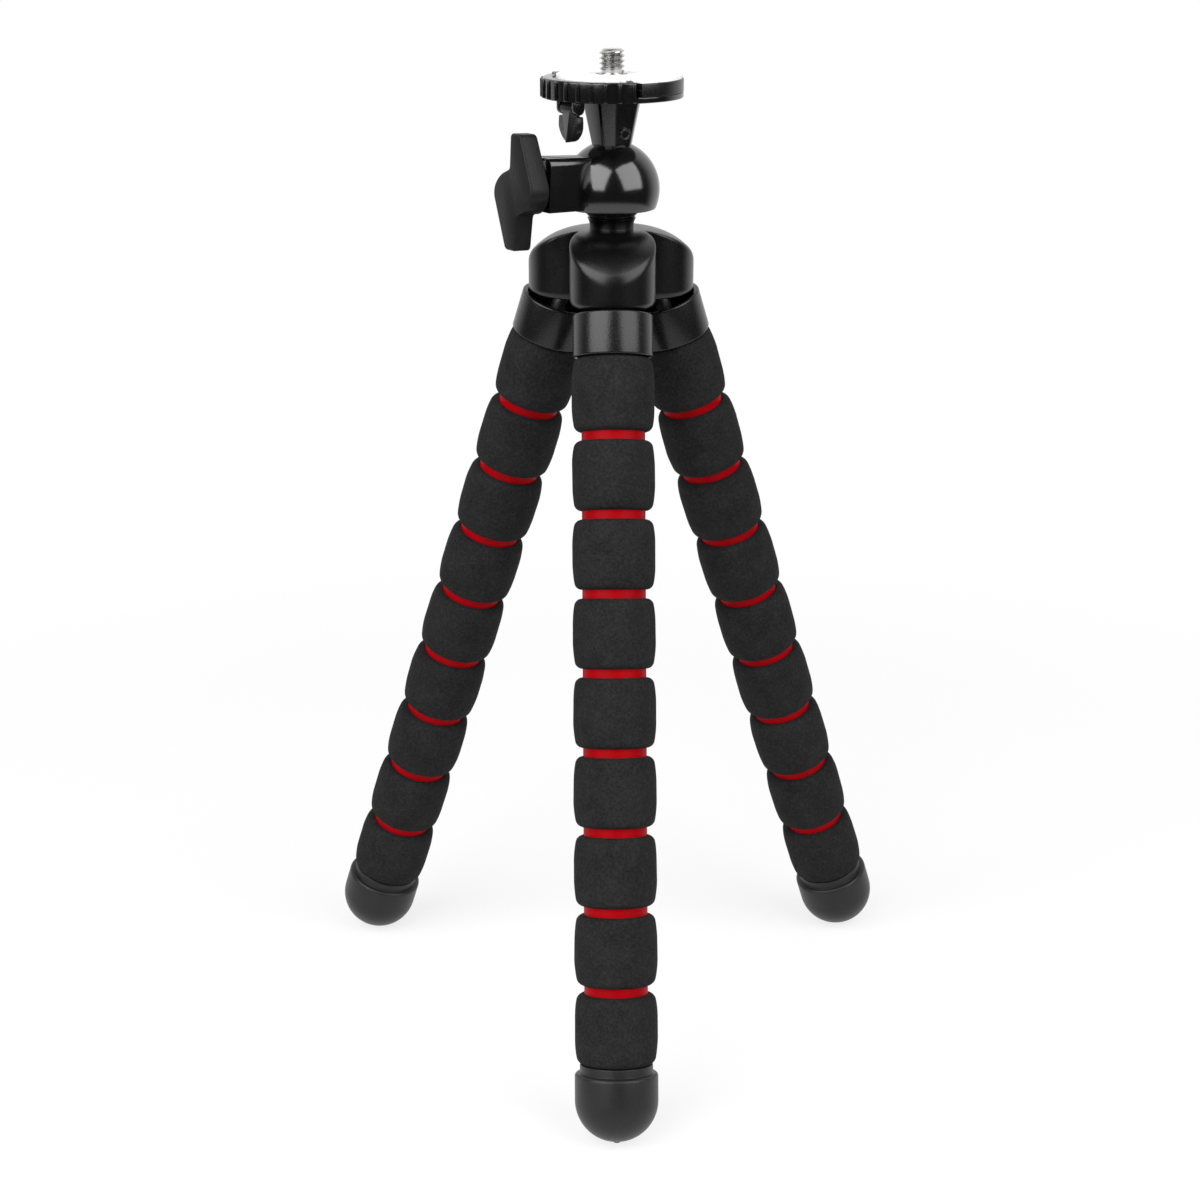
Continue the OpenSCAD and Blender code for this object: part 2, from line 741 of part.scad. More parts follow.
// The first sleeve starts at the collar, so it is longer by half a gap.
module leg_foam(leg, i) {
    start = i == 1 ? 0 : (i - 1) * pitch + band_gap / 2;
    length = i * pitch - band_gap / 2 - start;
    color("#232325")
    leaning(leg) translate([0, 0, -leg_top - start])
        rounded_ring(foam_r, tube_r + soft_clear, length, foam_edge_r);
}

module leg_foot(leg) {
    color("#333135")
    leaning(leg) translate([0, 0, -leg_bottom]) difference() {
        union() {
            translate([0, 0, -band_gap]) cylinder(d = foot_neck_d, h = band_gap);
            translate([0, 0, -band_gap]) rounded_ring(foot_r, 0, foot_side, collar_edge_r);
            translate([0, 0, -band_gap - foot_side]) intersection() {
                sphere(foot_r);
                translate([-foot_r, -foot_r, -foot_d]) cube([foot_d, foot_d, foot_d]);
            }
            translate([0, 0, -band_gap - foot_side]) cylinder(r = foot_r, h = foot_side / 2);
        }
        translate([0, 0, -foot_wire_depth - pass_clear])
            cylinder(r = wire_r + soft_clear, h = foot_wire_depth + pass_clear + over);
    }
}

hub_shell();
hub_cover();
head_bolt();
ball_stem();
ball();
ball_socket();
lock_knob();
lock_screw();
lock_nut();
brake_shoe();
plate_holder();
release_lever();
lever_pin();
quick_release_plate();
plate_pad();
camera_screw();
for (leg = LEGS) {
    leg_collar(leg);
    leg_core_wire(leg);
    leg_inner_tube(leg);
    for (i = [1:SLEEVES]) leg_foam(leg, i);
    leg_foot(leg);
}
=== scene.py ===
"""Looks of a table tripod with bendable foam-sleeved legs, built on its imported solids."""
import json
import math

import bmesh
import bpy
from mathutils import Euler, Matrix, Vector, noise


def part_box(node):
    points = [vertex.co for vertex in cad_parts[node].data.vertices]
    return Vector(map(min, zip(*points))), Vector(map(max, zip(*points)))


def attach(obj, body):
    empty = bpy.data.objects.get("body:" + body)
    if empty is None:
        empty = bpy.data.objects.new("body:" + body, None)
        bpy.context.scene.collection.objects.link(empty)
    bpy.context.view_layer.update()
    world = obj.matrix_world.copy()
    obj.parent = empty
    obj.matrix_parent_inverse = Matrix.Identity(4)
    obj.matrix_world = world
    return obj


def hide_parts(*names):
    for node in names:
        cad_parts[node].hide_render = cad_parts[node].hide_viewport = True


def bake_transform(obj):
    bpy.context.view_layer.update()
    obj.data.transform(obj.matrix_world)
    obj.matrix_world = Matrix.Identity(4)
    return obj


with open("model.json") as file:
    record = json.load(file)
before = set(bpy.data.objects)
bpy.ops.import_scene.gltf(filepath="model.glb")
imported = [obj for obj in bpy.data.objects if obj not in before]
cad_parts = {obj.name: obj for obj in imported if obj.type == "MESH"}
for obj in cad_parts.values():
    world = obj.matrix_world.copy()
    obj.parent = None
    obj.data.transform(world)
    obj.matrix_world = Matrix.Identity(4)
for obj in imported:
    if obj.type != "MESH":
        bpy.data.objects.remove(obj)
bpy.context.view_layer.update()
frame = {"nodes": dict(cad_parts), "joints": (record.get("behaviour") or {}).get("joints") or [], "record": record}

bl_info = {
    "name": "Flexible Leg Tripod",
    "version": (1, 0, 0),
    "blender": (4, 5, 0),
    "location": "View3D > Sidebar > Tripod",
    "description": "Builds the visible pieces of a table tripod on its packed solids",
    "category": "Object",
}

JOINTS = {joint["name"]: joint for joint in frame["joints"]}
LEGS = ("front", "left", "right")
SLEEVES = 9
FULL_TURN = 2 * math.pi
LOBE_STEP = FULL_TURN / 3
NEARLY_ALL = 0.9999
FIRST_LOBE = math.radians(30)


def size(name, description, default):
    return bpy.props.FloatProperty(name=name, description=description, default=default, min=0.0,
                                   unit="LENGTH", precision=5)


def colour(name, description, default):
    return bpy.props.FloatVectorProperty(name=name, description=description, default=default, size=3,
                                         min=0.0, max=1.0, subtype="COLOR")


def share(name, description, default):
    return bpy.props.FloatProperty(name=name, description=description, default=default, min=0.0, max=1.0,
                                   subtype="FACTOR")


def power(name, description, default):
    return bpy.props.FloatProperty(name=name, description=description, default=default, min=0.0, unit="POWER")


def angle(name, description, degrees):
    return bpy.props.FloatProperty(name=name, description=description, default=math.radians(degrees),
                                   unit="ROTATION", subtype="ANGLE")


class TripodLegSizes(bpy.types.PropertyGroup):
    sleeve_radius: size("Sleeve radius", "Radius of a foam sleeve at its middle", 0.0105)
    sleeve_end_radius: size("Sleeve end radius", "Radius of a foam sleeve at its ends", 0.00975)
    sleeve_rounding: size("Sleeve rounding", "Rounding of a sleeve's ends", 0.0016)
    sleeve_taper: size("Sleeve taper", "Length over which a sleeve swells from its end", 0.0042)
    sleeve_shoulder: size("Sleeve shoulder", "Rounding where a sleeve reaches its full radius", 0.0022)
    sleeve_bore: size("Sleeve bore", "Radius of a sleeve's bore", 0.00815)
    sleeve_waver: size("Sleeve waver", "Unevenness of a sleeve's skin", 0.00012)
    band: size("Band", "Length of the red band between two sleeves", 0.0022)
    tube_radius: size("Tube radius", "Radius of the red tube", 0.008)
    tube_bore: size("Tube bore", "Radius of the red tube's bore", 0.0023)
    wire_radius: size("Wire radius", "Radius of the core wire", 0.002)
    wire_grip: size("Wire grip", "Length of core wire held in the hub", 0.009)
    wire_bend: size("Wire bend", "Half the length over which a core wire bends under the hub", 0.003)
    wire_in_foot: size("Wire in foot", "Length of core wire held in the foot", 0.006)
    cup_radius: size("Cup radius", "Outer radius of the cup at a leg's top", 0.0101)
    cup_wall: size("Cup wall", "Wall of that cup", 0.0014)
    cup_height: size("Cup height", "Height of that cup", 0.0108)
    cup_floor: size("Cup floor", "Thickness of that cup's floor", 0.0025)
    foot_radius: size("Foot radius", "Radius of a foot", 0.0105)
    foot_neck_radius: size("Foot neck radius", "Radius of a foot's neck", 0.0092)
    foot_length: size("Foot length", "Length of a foot below its neck", 0.01727)
    foot_round: size("Foot round", "Rounding of a foot's end", 0.0104)


class TripodHeadSizes(bpy.types.PropertyGroup):
    hub_height: size("Hub height", "Height of the hub", 0.0178)
    hub_seat: size("Hub seat", "Radius of the hub's flat top", 0.0072)
    lobe_radius: size("Lobe radius", "Radius of a lobe", 0.0109)
    lobe_centre: size("Lobe centre", "Distance of a lobe's middle from the axis", 0.0121)
    lobe_edge: size("Lobe edge", "Rounding of the lobes' lower edge", 0.002)
    hub_wall: size("Hub wall", "Wall of the hub round the recess below", 0.0022)
    hub_recess: size("Hub recess", "Depth of the recess below the hub", 0.0026)
    hub_blend: size("Hub blend", "Width of the rounding between the dome and the lobes", 0.001)
    stem_radius: size("Stem radius", "Radius of the stem at its waist", 0.0054)
    stem_foot: size("Stem foot", "Radius of the stem at the hub", 0.0056)
    stem_flare: size("Stem flare", "Radius of the stem under the socket", 0.0062)
    socket_radius: size("Socket radius", "Outer radius of the ball socket", 0.0122)
    socket_bore: size("Socket bore", "Inner radius of the ball socket", 0.00906)
    socket_rim: size("Socket rim", "Depth of the socket's rim below the ball's middle", 0.0048)
    slot_radius: size("Slot radius", "Radius of the slot that the stem drops into", 0.00778)
    boss_width: size("Boss width", "Width of the clamp boss", 0.0104)
    boss_top: size("Boss top", "Height of the clamp boss above the clamp's axis", 0.0084)
    boss_end: size("Boss end", "Distance from the ball's middle to the clamp boss's end", 0.0226)
    boss_edge: size("Boss edge", "Rounding of the clamp boss's upper edges", 0.0018)
    boss_waist: share("Boss waist", "Share of the clamp boss's width that is left at the socket", 0.62)
    groove_offset: size("Groove offset", "Distance of a groove from the clamp boss's middle", 0.0017)
    groove_width: size("Groove width", "Width of a groove on the clamp boss", 0.0012)
    groove_depth: size("Groove depth", "Depth of a groove on the clamp boss", 0.0007)
    knob_near: size("Knob near", "Distance from the ball's middle to the knob's boss", 0.023)
    knob_back: size("Knob back", "Distance from the ball's middle to the back of the knob's wings", 0.0248)
    knob_thickness: size("Knob thickness", "Thickness of the knob's wings", 0.0056)
    knob_edge: size("Knob edge", "Rounding of the knob's edges", 0.0006)
    tray_rise: size("Tray rise", "Height of the tray's underside above the ball's middle", 0.0229)
    tray_radius: size("Tray radius", "Radius of the tray", 0.018)
    rim_radius: size("Rim radius", "Outer radius of the ribbed rim, without its ribs", 0.0174)
    rim_height: size("Rim height", "Height of the ribbed rim and tray", 0.005)
    rim_span: angle("Rim span", "Angle that the ribbed rim spans", 140)
    neck_top: size("Neck top", "Width of the neck at the tray", 0.0134)
    neck_bottom: size("Neck bottom", "Width of the neck at the socket", 0.0094)
    lever_width: size("Lever width", "Width of the release lever", 0.0082)
    lever_barrel: size("Lever barrel", "Length of the release lever's barrel", 0.005)
    lever_length: size("Lever length", "Length of the release lever below its pin", 0.0084)
    lever_thickness: size("Lever thickness", "Thickness of the release lever", 0.0026)
    screw_radius: size("Screw radius", "Radius of the camera screw's thread", 0.003175)
    screw_pitch: size("Screw pitch", "Pitch of the camera screw", 0.00127)
    screw_out: size("Screw out", "Height of the camera screw above the pad", 0.0061)


class TripodFinishes(bpy.types.PropertyGroup):
    gloss_black: colour("Gloss black", "Socket and tray", (0.0022, 0.0022, 0.0023))
    gloss_roughness: share("Gloss roughness", "Roughness of the glossy mouldings", 0.15)
    hub_black: colour("Hub black", "Hub and stem", (0.0011, 0.0011, 0.0012))
    hub_roughness: share("Hub roughness", "Roughness of the grained hub", 0.3)
    satin_black: colour("Satin black", "Cups, lever, plate and cover", (0.005, 0.005, 0.0053))
    satin_roughness: share("Satin roughness", "Roughness of the satin mouldings", 0.27)
    knob_grey: colour("Knob grey", "Wing knob", (0.008, 0.008, 0.0084))
    knob_roughness: share("Knob roughness", "Roughness of the wing knob", 0.38)
    foam: colour("Foam", "Foam sleeves", (0.0145, 0.0143, 0.0147))
    red_tube: colour("Red tube", "Soft red tube", (0.31, 0.0004, 0.003))
    foot_rubber: colour("Foot rubber", "Rubber feet", (0.0095, 0.0093, 0.0097))
    wire: colour("Wire", "Core wire", (0.6, 0.6, 0.62))
    steel: colour("Steel", "Bolt, nut, pin and clamp screw", (0.5, 0.5, 0.51))
    bright_steel: colour("Bright steel", "Camera screw", (0.55, 0.54, 0.53))
    ball_metal: colour("Ball metal", "Blackened ball in the socket", (0.012, 0.012, 0.0125))
    white_plastic: colour("White plastic", "Brake shoe", (0.75, 0.73, 0.66))
    pale_pad: colour("Pale pad", "Pad under the camera", (0.84, 0.84, 0.835))


class TripodStage(bpy.types.PropertyGroup):
    left_power: power("Left power", "Power of the left softbox", 13.0)
    right_power: power("Right power", "Power of the right softbox", 9.5)
    top_power: power("Top power", "Power of the softbox overhead, which shows in no reflection", 2.7)
    ambient: share("Ambient", "Strength of the light from all round", 0.06)
    floor_white: share("Floor white", "Share of plain white in the floor, the rest takes shadow", 0.78)
    floor_radius: size("Floor radius", "Radius of the floor", 0.45)


class Wire:
    """A node's socket that takes part in arithmetic: each operation adds a Math node."""

    def __init__(self, nodes, socket):
        self.nodes = nodes
        self.socket = socket

    def math(self, operation, first, second):
        return self.nodes.add("ShaderNodeMath", {"operation": operation}, {0: first, 1: second})

    def __add__(self, other):
        return self.math("ADD", self, other)

    __radd__ = __add__

    def __sub__(self, other):
        return self.math("SUBTRACT", self, other)

    def __rsub__(self, other):
        return self.math("SUBTRACT", other, self)

    def __mul__(self, other):
        return self.math("MULTIPLY", self, other)

    __rmul__ = __mul__


class Nodes:
    """The node tree of a material or world."""

    def __init__(self, owner):
        owner.use_nodes = True
        self.owner = owner
        self.tree = owner.node_tree

    def add(self, kind, settings=None, sockets=None, output=0):
        node = self.tree.nodes.new(kind)
        for key, value in (settings or {}).items():
            if key == "stops":
                ramp = node.color_ramp
                while len(ramp.elements) < len(value):
                    ramp.elements.new(1.0)
                for element, (position, tone) in zip(ramp.elements, value):
                    element.position = position
                    element.color = tone
            else:
                setattr(node, key, value)
        self.feed(node, sockets or {})
        return Wire(self, node.outputs[output])

    def feed(self, node, sockets):
        for key, value in sockets.items():
            if isinstance(value, Wire):
                self.tree.links.new(value.socket, node.inputs[key])
            else:
                node.inputs[key].default_value = value

    def surface(self, **sockets):
        self.feed(self.tree.nodes["Principled BSDF"], {k.replace("_", " "): v for k, v in sockets.items()})

    def place(self):
        return self.add("ShaderNodeTexCoord", output="Object")

    def speckle(self, place, grain, detail=2.0):
        return self.add("ShaderNodeTexNoise", {}, {"Vector": place, "Scale": 1 / grain, "Detail": detail})

    def cells(self, place, grain, feature="F1"):
        return self.add("ShaderNodeTexVoronoi", {"feature": feature}, {"Vector": place, "Scale": 1 / grain})

    def tint(self, factor, low, high):
        return self.add("ShaderNodeMix", {"data_type": "RGBA"}, {0: factor, 6: low, 7: high}, 2)

    def bump(self, height, depth):
        return self.add("ShaderNodeBump", {}, {"Strength": 1.0, "Distance": depth, "Height": height})

    def rays(self):
        """Sockets for rays from the camera, from a mirror and through glass."""
        return [self.add("ShaderNodeLightPath", output=f"Is {kind} Ray")
                for kind in ("Camera", "Glossy", "Transmission")]


def toned(base, gain):
    return tuple(min(1.0, part * gain) for part in base) + (1.0,)


def moulding(nodes, base, roughness, grain, depth, level):
    """Moulded plastic: a fine spark-eroded grain, and slow changes of tone and gloss."""
    place = nodes.place()
    grit = nodes.speckle(place, grain)
    cloud = nodes.speckle(place, 0.008, 3.0)
    nodes.surface(Base_Color=nodes.tint(cloud, toned(base, 0.75), toned(base, 1.25)),
                  Roughness=roughness + (cloud - 0.5) * 0.1 + (grit - 0.5) * 0.14,
                  Normal=nodes.bump(grit, depth), Specular_IOR_Level=level)


def foam_skin(nodes, base):
    """Cut foam: fine open cells, specks and faint patches."""
    place = nodes.place()
    cells = nodes.cells(place, 0.0007)
    dust = nodes.speckle(place, 0.0004, 3.0)
    patch = nodes.speckle(place, 0.006, 3.0)
    tone = cells * 0.45 + dust * 0.75 + (patch - 0.5) * 0.5 - 0.1
    nodes.surface(Base_Color=nodes.tint(tone, toned(base, 0.1), toned(base, 1.8)),
                  Roughness=0.8 + (dust - 0.5) * 0.25,
                  Normal=nodes.bump(cells * 0.6 + dust * 0.8, 0.00022), Specular_IOR_Level=0.08)


def soft_tube(nodes, base):
    """Soft tube: an even red with faint clouds and a fine drawn grain along it."""
    place = nodes.place()
    grit = nodes.speckle(place, 0.0004)
    cloud = nodes.speckle(place, 0.004, 3.0)
    nodes.surface(Base_Color=nodes.tint(cloud, toned(base, 0.72), toned(base, 1.2)),
                  Roughness=0.42 + (grit - 0.5) * 0.25, Normal=nodes.bump(grit, 0.00004),
                  Specular_IOR_Level=0.05)


def rubber(nodes, base):
    """Moulded rubber: a soft sheen, with a fine grain and dusty patches."""
    place = nodes.place()
    grit = nodes.speckle(place, 0.00045)
    cloud = nodes.speckle(place, 0.005, 4.0)
    nodes.surface(Base_Color=nodes.tint(cloud, toned(base, 0.65), toned(base, 1.35)),
                  Roughness=0.4 + (grit - 0.5) * 0.2, Normal=nodes.bump(grit, 0.00004),
                  Specular_IOR_Level=0.3)


def turned_metal(nodes, base, roughness):
    """Turned metal: rings left by the tool across the axis, and slight stains."""
    place = nodes.place()
    stretched = nodes.add("ShaderNodeMapping", {}, {"Vector": place, "Scale": (60.0, 60.0, 9000.0)})
    rings = nodes.add("ShaderNodeTexNoise", {}, {"Vector": stretched, "Scale": 1.0, "Detail": 3.0})
    cloud = nodes.speckle(place, 0.003, 3.0)
    nodes.surface(Base_Color=nodes.tint(cloud, toned(base, 0.8), toned(base, 1.1)), Metallic=1.0,
                  Roughness=roughness + (rings - 0.5) * 0.2 + (cloud - 0.5) * 0.1,
                  Normal=nodes.bump(rings, 0.000008))


def dotted_pad(nodes, base):
    """Pale pad: small grey pits all over an almost white face."""
    place = nodes.place()
    pits = nodes.cells(place, 0.0011)
    dust = nodes.speckle(place, 0.0005)
    stops = [(0.12, (0, 0, 0, 1)), (0.34, (1, 1, 1, 1))]
    mask = nodes.add("ShaderNodeValToRGB", {"stops": stops}, {"Fac": pits})
    nodes.surface(Base_Color=nodes.tint(mask, toned(base, 0.6), toned(base, 1.03)),
                  Roughness=0.7 + (dust - 0.5) * 0.2, Normal=nodes.bump(mask, 0.00005))


# property of the roughness, size and depth of the grain, specular level
MOULDINGS = {
    "gloss_black": ("gloss_roughness", 0.0004, 0.000009, 0.8),
    "ball_metal": ("gloss_roughness", 0.0004, 0.000009, 0.8),
    "hub_black": ("hub_roughness", 0.0004, 0.00002, 0.42),
    "satin_black": ("satin_roughness", 0.0004, 0.000025, 0.4),
    "knob_grey": ("knob_roughness", 0.0004, 0.00007, 0.15),
    "white_plastic": ("satin_roughness", 0.0005, 0.00001, 0.5),
}
SKINS = {"foam": foam_skin, "red_tube": soft_tube, "foot_rubber": rubber, "pale_pad": dotted_pad}
METAL_ROUGHNESS = {"bright_steel": 0.2, "steel": 0.36, "wire": 0.36}


def finish(slot):
    """The material of a slot or look, made at its first use."""
    name = f"{slot}_finish"
    if name in bpy.data.materials:
        return bpy.data.materials[name]
    tones = bpy.context.scene.tripod_finishes
    base = tuple(getattr(tones, slot))
    nodes = Nodes(bpy.data.materials.new(name))
    if slot in MOULDINGS:
        roughness, grain, depth, level = MOULDINGS[slot]
        moulding(nodes, base, getattr(tones, roughness), grain, depth, level)
    elif slot in SKINS:
        SKINS[slot](nodes, base)
    else:
        turned_metal(nodes, base, METAL_ROUGHNESS[slot])
    return nodes.owner


def joint_place(name):
    return Vector(JOINTS[name]["pos_m"])


def axes(origin, across, along, up):
    """Matrix that puts a piece's own axes on the given directions."""
    turn = Matrix((across, along, up)).transposed().to_4x4()
    return Matrix.Translation(origin) @ turn


def leg_axes(leg):
    """A leg's own axes: +Z runs down the leg from its bend point, +X points away from the head."""
    top = joint_place(f"{leg}_spread")
    down = (joint_place(f"{leg}_bend_{SLEEVES - 1}") - top).normalized()
    side = Vector(JOINTS[f"{leg}_spread"]["axis"]).normalized()
    return axes(top, side.cross(down), side, down)


def band_distance(leg, band):
    """Distance of a band's middle down the leg; band 0 is the cup's end and band 9 the foot's start."""
    top = joint_place(f"{leg}_spread")
    first = (joint_place(f"{leg}_bend_1") - top).length
    pitch = (joint_place(f"{leg}_bend_2") - top).length - first
    return first + (band - 1) * pitch


def bend_at_band(piece):
    """Bakes the place of a piece that spans one of the leg's red bands into its mesh."""
    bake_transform(piece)


def head_axes():
    """The head's own axes at the ball's middle, with the knob on -X."""
    knob = Vector(JOINTS["head_tilt"]["axis"]).normalized()
    up = Vector((0, 0, 1))
    return axes(joint_place("head_pan"), -knob, up.cross(-knob), up)


def clamp_axes():
    """The clamp's own axes at the ball's middle: +Z runs out to the knob, and +X up."""
    out = Vector(JOINTS["knob_turn"]["axis"]).normalized()
    side = head_axes().to_3x3() @ Vector((0, 1, 0))
    return axes(joint_place("knob_turn"), side.cross(out), side, out)


def lever_axes():
    """The lever's own axes at its pin: +X points away from the head's axis, and +Y along the pin."""
    pin = joint_place("lever_flip")
    out = Vector((pin.x, pin.y, 0)).normalized()
    up = Vector((0, 0, 1))
    return axes(pin, out, up.cross(out), up)


def profile(bm, corners, closed):
    """A wire of (radius, height, rounding) corners in the XZ plane, with its corners rounded."""
    points = [bm.verts.new((radius, 0, height)) for radius, height, _ in corners]
    for first, second in zip(points, points[1:] + points[:1] if closed else points[1:]):
        bm.edges.new((first, second))
    round_corners(bm, points, [rounding for _, _, rounding in corners])


def bevelled(bm, geom, offset, affect, segments, clamp=False):
    bmesh.ops.bevel(bm, geom=geom, offset=offset, offset_type="OFFSET", affect=affect, segments=segments,
                    profile=0.5, material=-1, clamp_overlap=clamp)


def round_corners(bm, points, roundings):
    facet = 0.0003
    for point, rounding in zip(points, roundings):
        if rounding:
            bevelled(bm, [point], rounding, "VERTICES", max(6, round(rounding / facet)))


def everything(bm):
    return bm.verts[:] + bm.edges[:] + bm.faces[:]


def set_reach(vert, reach):
    """Moves a point straight in or out to a distance from the Z axis."""
    scale = reach / math.hypot(vert.co.x, vert.co.y)
    vert.co.x *= scale
    vert.co.y *= scale


def raise_faces(bm, height):
    """Extrudes all faces up Z, and gives the new points."""
    made = bmesh.ops.extrude_face_region(bm, geom=bm.faces[:])["geom"]
    verts = [part for part in made if isinstance(part, bmesh.types.BMVert)]
    bmesh.ops.translate(bm, verts=verts, vec=(0, 0, height))
    return verts


def tidy(bm):
    bmesh.ops.remove_doubles(bm, verts=bm.verts, dist=1e-7)
    bmesh.ops.recalc_face_normals(bm, faces=bm.faces)
    return bm


def spun(bm, sweep, steps, **options):
    bmesh.ops.spin(bm, geom=everything(bm), cent=(0, 0, 0), axis=(0, 0, 1), angle=sweep, steps=steps,
                   **options)


def turned(degrees, axis):
    return Matrix.Rotation(math.radians(degrees), 4, axis)


def lathe(corners, closed=False, steps=64):
    """Spins a profile about Z into a closed body."""
    bm = bmesh.new()
    profile(bm, corners, closed)
    spun(bm, FULL_TURN, steps, use_merge=True)
    return tidy(bm)


def slab(outline, thickness):
    """A plate from (x, y, rounding) corners, from z = 0 up."""
    bm = bmesh.new()
    points = [bm.verts.new((x, y, 0)) for x, y, _ in outline]
    bm.faces.new(points)
    round_corners(bm, points, [rounding for _, _, rounding in outline])
    raise_faces(bm, thickness)
    return tidy(bm)


def arc_wall(section, start, sweep, steps):
    """A wall of a closed (radius, height, rounding) section, swept about Z between two ends."""
    bm = bmesh.new()
    points = [bm.verts.new((radius, 0, height)) for radius, height, _ in section]
    bm.faces.new(points)
    round_corners(bm, points, [rounding for _, _, rounding in section])
    bmesh.ops.rotate(bm, verts=bm.verts, cent=(0, 0, 0), matrix=Matrix.Rotation(start, 3, "Z"))
    spun(bm, sweep, steps)
    return tidy(bm)


def soften(bm, width, chosen=None, segments=3, limit=30):
    """Rounds the sharp edges, or those of them that the test picks."""
    sharp = [edge for edge in bm.edges if edge.is_manifold and edge.calc_face_angle() > math.radians(limit)
             and (chosen is None or chosen(edge))]
    bevelled(bm, sharp, width, "EDGES", segments, clamp=True)
    return bm


def moved(bm, matrix):
    bmesh.ops.transform(bm, matrix=matrix, verts=bm.verts)
    return bm


def as_mesh(bm, name):
    """A mesh of a bmesh, which is freed."""
    mesh = bpy.data.meshes.new(name)
    bm.to_mesh(mesh)
    bm.free()
    return mesh


def linked(name, data):
    """A new object in the scene."""
    thing = bpy.data.objects.new(name, data)
    bpy.context.scene.collection.objects.link(thing)
    return thing


def joined(first, *others):
    """One bmesh of several shells."""
    for other in others:
        mesh = as_mesh(other, "shell")
        first.from_mesh(mesh)
        bpy.data.meshes.remove(mesh)
    return first


def carved(bm, cutter):
    """A bmesh with another one cut out of it."""
    blocks = [linked(name, as_mesh(shell, name)) for name, shell in (("block", bm), ("cutter", cutter))]
    cut = blocks[0].modifiers.new("cut", "BOOLEAN")
    cut.operation = "DIFFERENCE"
    cut.solver = "EXACT"
    cut.object = blocks[1]
    left = bmesh.new()
    left.from_mesh(blocks[0].evaluated_get(bpy.context.evaluated_depsgraph_get()).to_mesh())
    for block in blocks:
        mesh = block.data
        bpy.data.objects.remove(block)
        bpy.data.meshes.remove(mesh)
    return left


def finished(bm, name, nodes, slot, place, body=None, crease=35, look=None):
    """Makes a named piece of a bmesh, in its place and finish, for the CAD nodes that it stands for."""
    mesh = as_mesh(moved(bm, place), name)
    mesh.shade_smooth()
    mesh.set_sharp_from_angle(angle=math.radians(crease))
    mesh.materials.append(finish(look or slot))
    piece = linked(name, mesh)
    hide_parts(*nodes)
    if body:
        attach(piece, body)
    return piece


class TRIPOD_OT_sleeves(bpy.types.Operator):
    """Barrel-shaped foam sleeves on the legs"""
    bl_idname = "tripod.sleeves"
    bl_label = "Foam Sleeves"

    def execute(self, context):
        sizes = context.scene.tripod_legs
        for leg in LEGS:
            for number in range(1, SLEEVES + 1):
                near = band_distance(leg, number - 1) + (sizes.band / 2 if number > 1 else 0)
                far = band_distance(leg, number) - sizes.band / 2
                bm = self.barrel(sizes, near, far)
                self.waver(bm, sizes, Vector((LEGS.index(leg), number, 0)))
                piece = finished(bm, f"{leg}_sleeve_{number}", [f"{leg}_foam_{number}"], "foam",
                                 leg_axes(leg), f"{leg}_link_{number}", 60)
        return {"FINISHED"}

    def barrel(self, sizes, near, far):
        """A sleeve that swells from its rounded ends to its middle."""
        half = [(sizes.sleeve_bore, 0, 0), (sizes.sleeve_end_radius, 0, sizes.sleeve_rounding),
                (sizes.sleeve_radius, sizes.sleeve_taper, sizes.sleeve_shoulder)]
        corners = [(radius, near + rise, rounding) for radius, rise, rounding in half]
        corners += [(radius, far - rise, rounding) for radius, rise, rounding in reversed(half)]
        return lathe(corners, closed=True, steps=72)

    def waver(self, bm, sizes, seed):
        """Makes a sleeve's skin slightly uneven, inwards only."""
        waves_per_metre = 160
        seed_step = 7.3
        for vert in bm.verts:
            radius = math.hypot(vert.co.x, vert.co.y)
            depth = max(0.0, (radius - sizes.sleeve_bore) / (sizes.sleeve_radius - sizes.sleeve_bore))
            wave = noise.noise(vert.co * waves_per_metre + seed * seed_step)
            swell = wave * sizes.sleeve_waver * depth - sizes.sleeve_waver / 2
            set_reach(vert, radius + min(0.0, swell) * depth)


class TRIPOD_OT_tubes(bpy.types.Operator):
    """Lengths of the red tube, one for each band, placed along the leg"""
    bl_idname = "tripod.tubes"
    bl_label = "Red Tubes"

    def execute(self, context):
        sizes = context.scene.tripod_legs
        for leg in LEGS:
            place = leg_axes(leg)
            for number in range(1, SLEEVES):
                middle = band_distance(leg, number)
                half = (middle - band_distance(leg, number - 1)) / 2
                near = middle - half * (2 if number == 1 else 1)
                far = middle + half * (2 if number == SLEEVES - 1 else 1)
                if number == SLEEVES - 1:
                    far -= sizes.band / 2
                rings = [near] + [middle + sizes.band * part for part in (-0.5, -0.25, 0, 0.25, 0.5)] + [far]
                bm = lathe([(sizes.tube_radius, ring, 0) for ring in rings]
                           + [(sizes.tube_bore, ring, 0) for ring in reversed(rings)], closed=True)
                piece = finished(bm, f"{leg}_red_tube_{number}", [f"{leg}_inner_tube"], "red_tube", place)
                bend_at_band(piece)
        return {"FINISHED"}


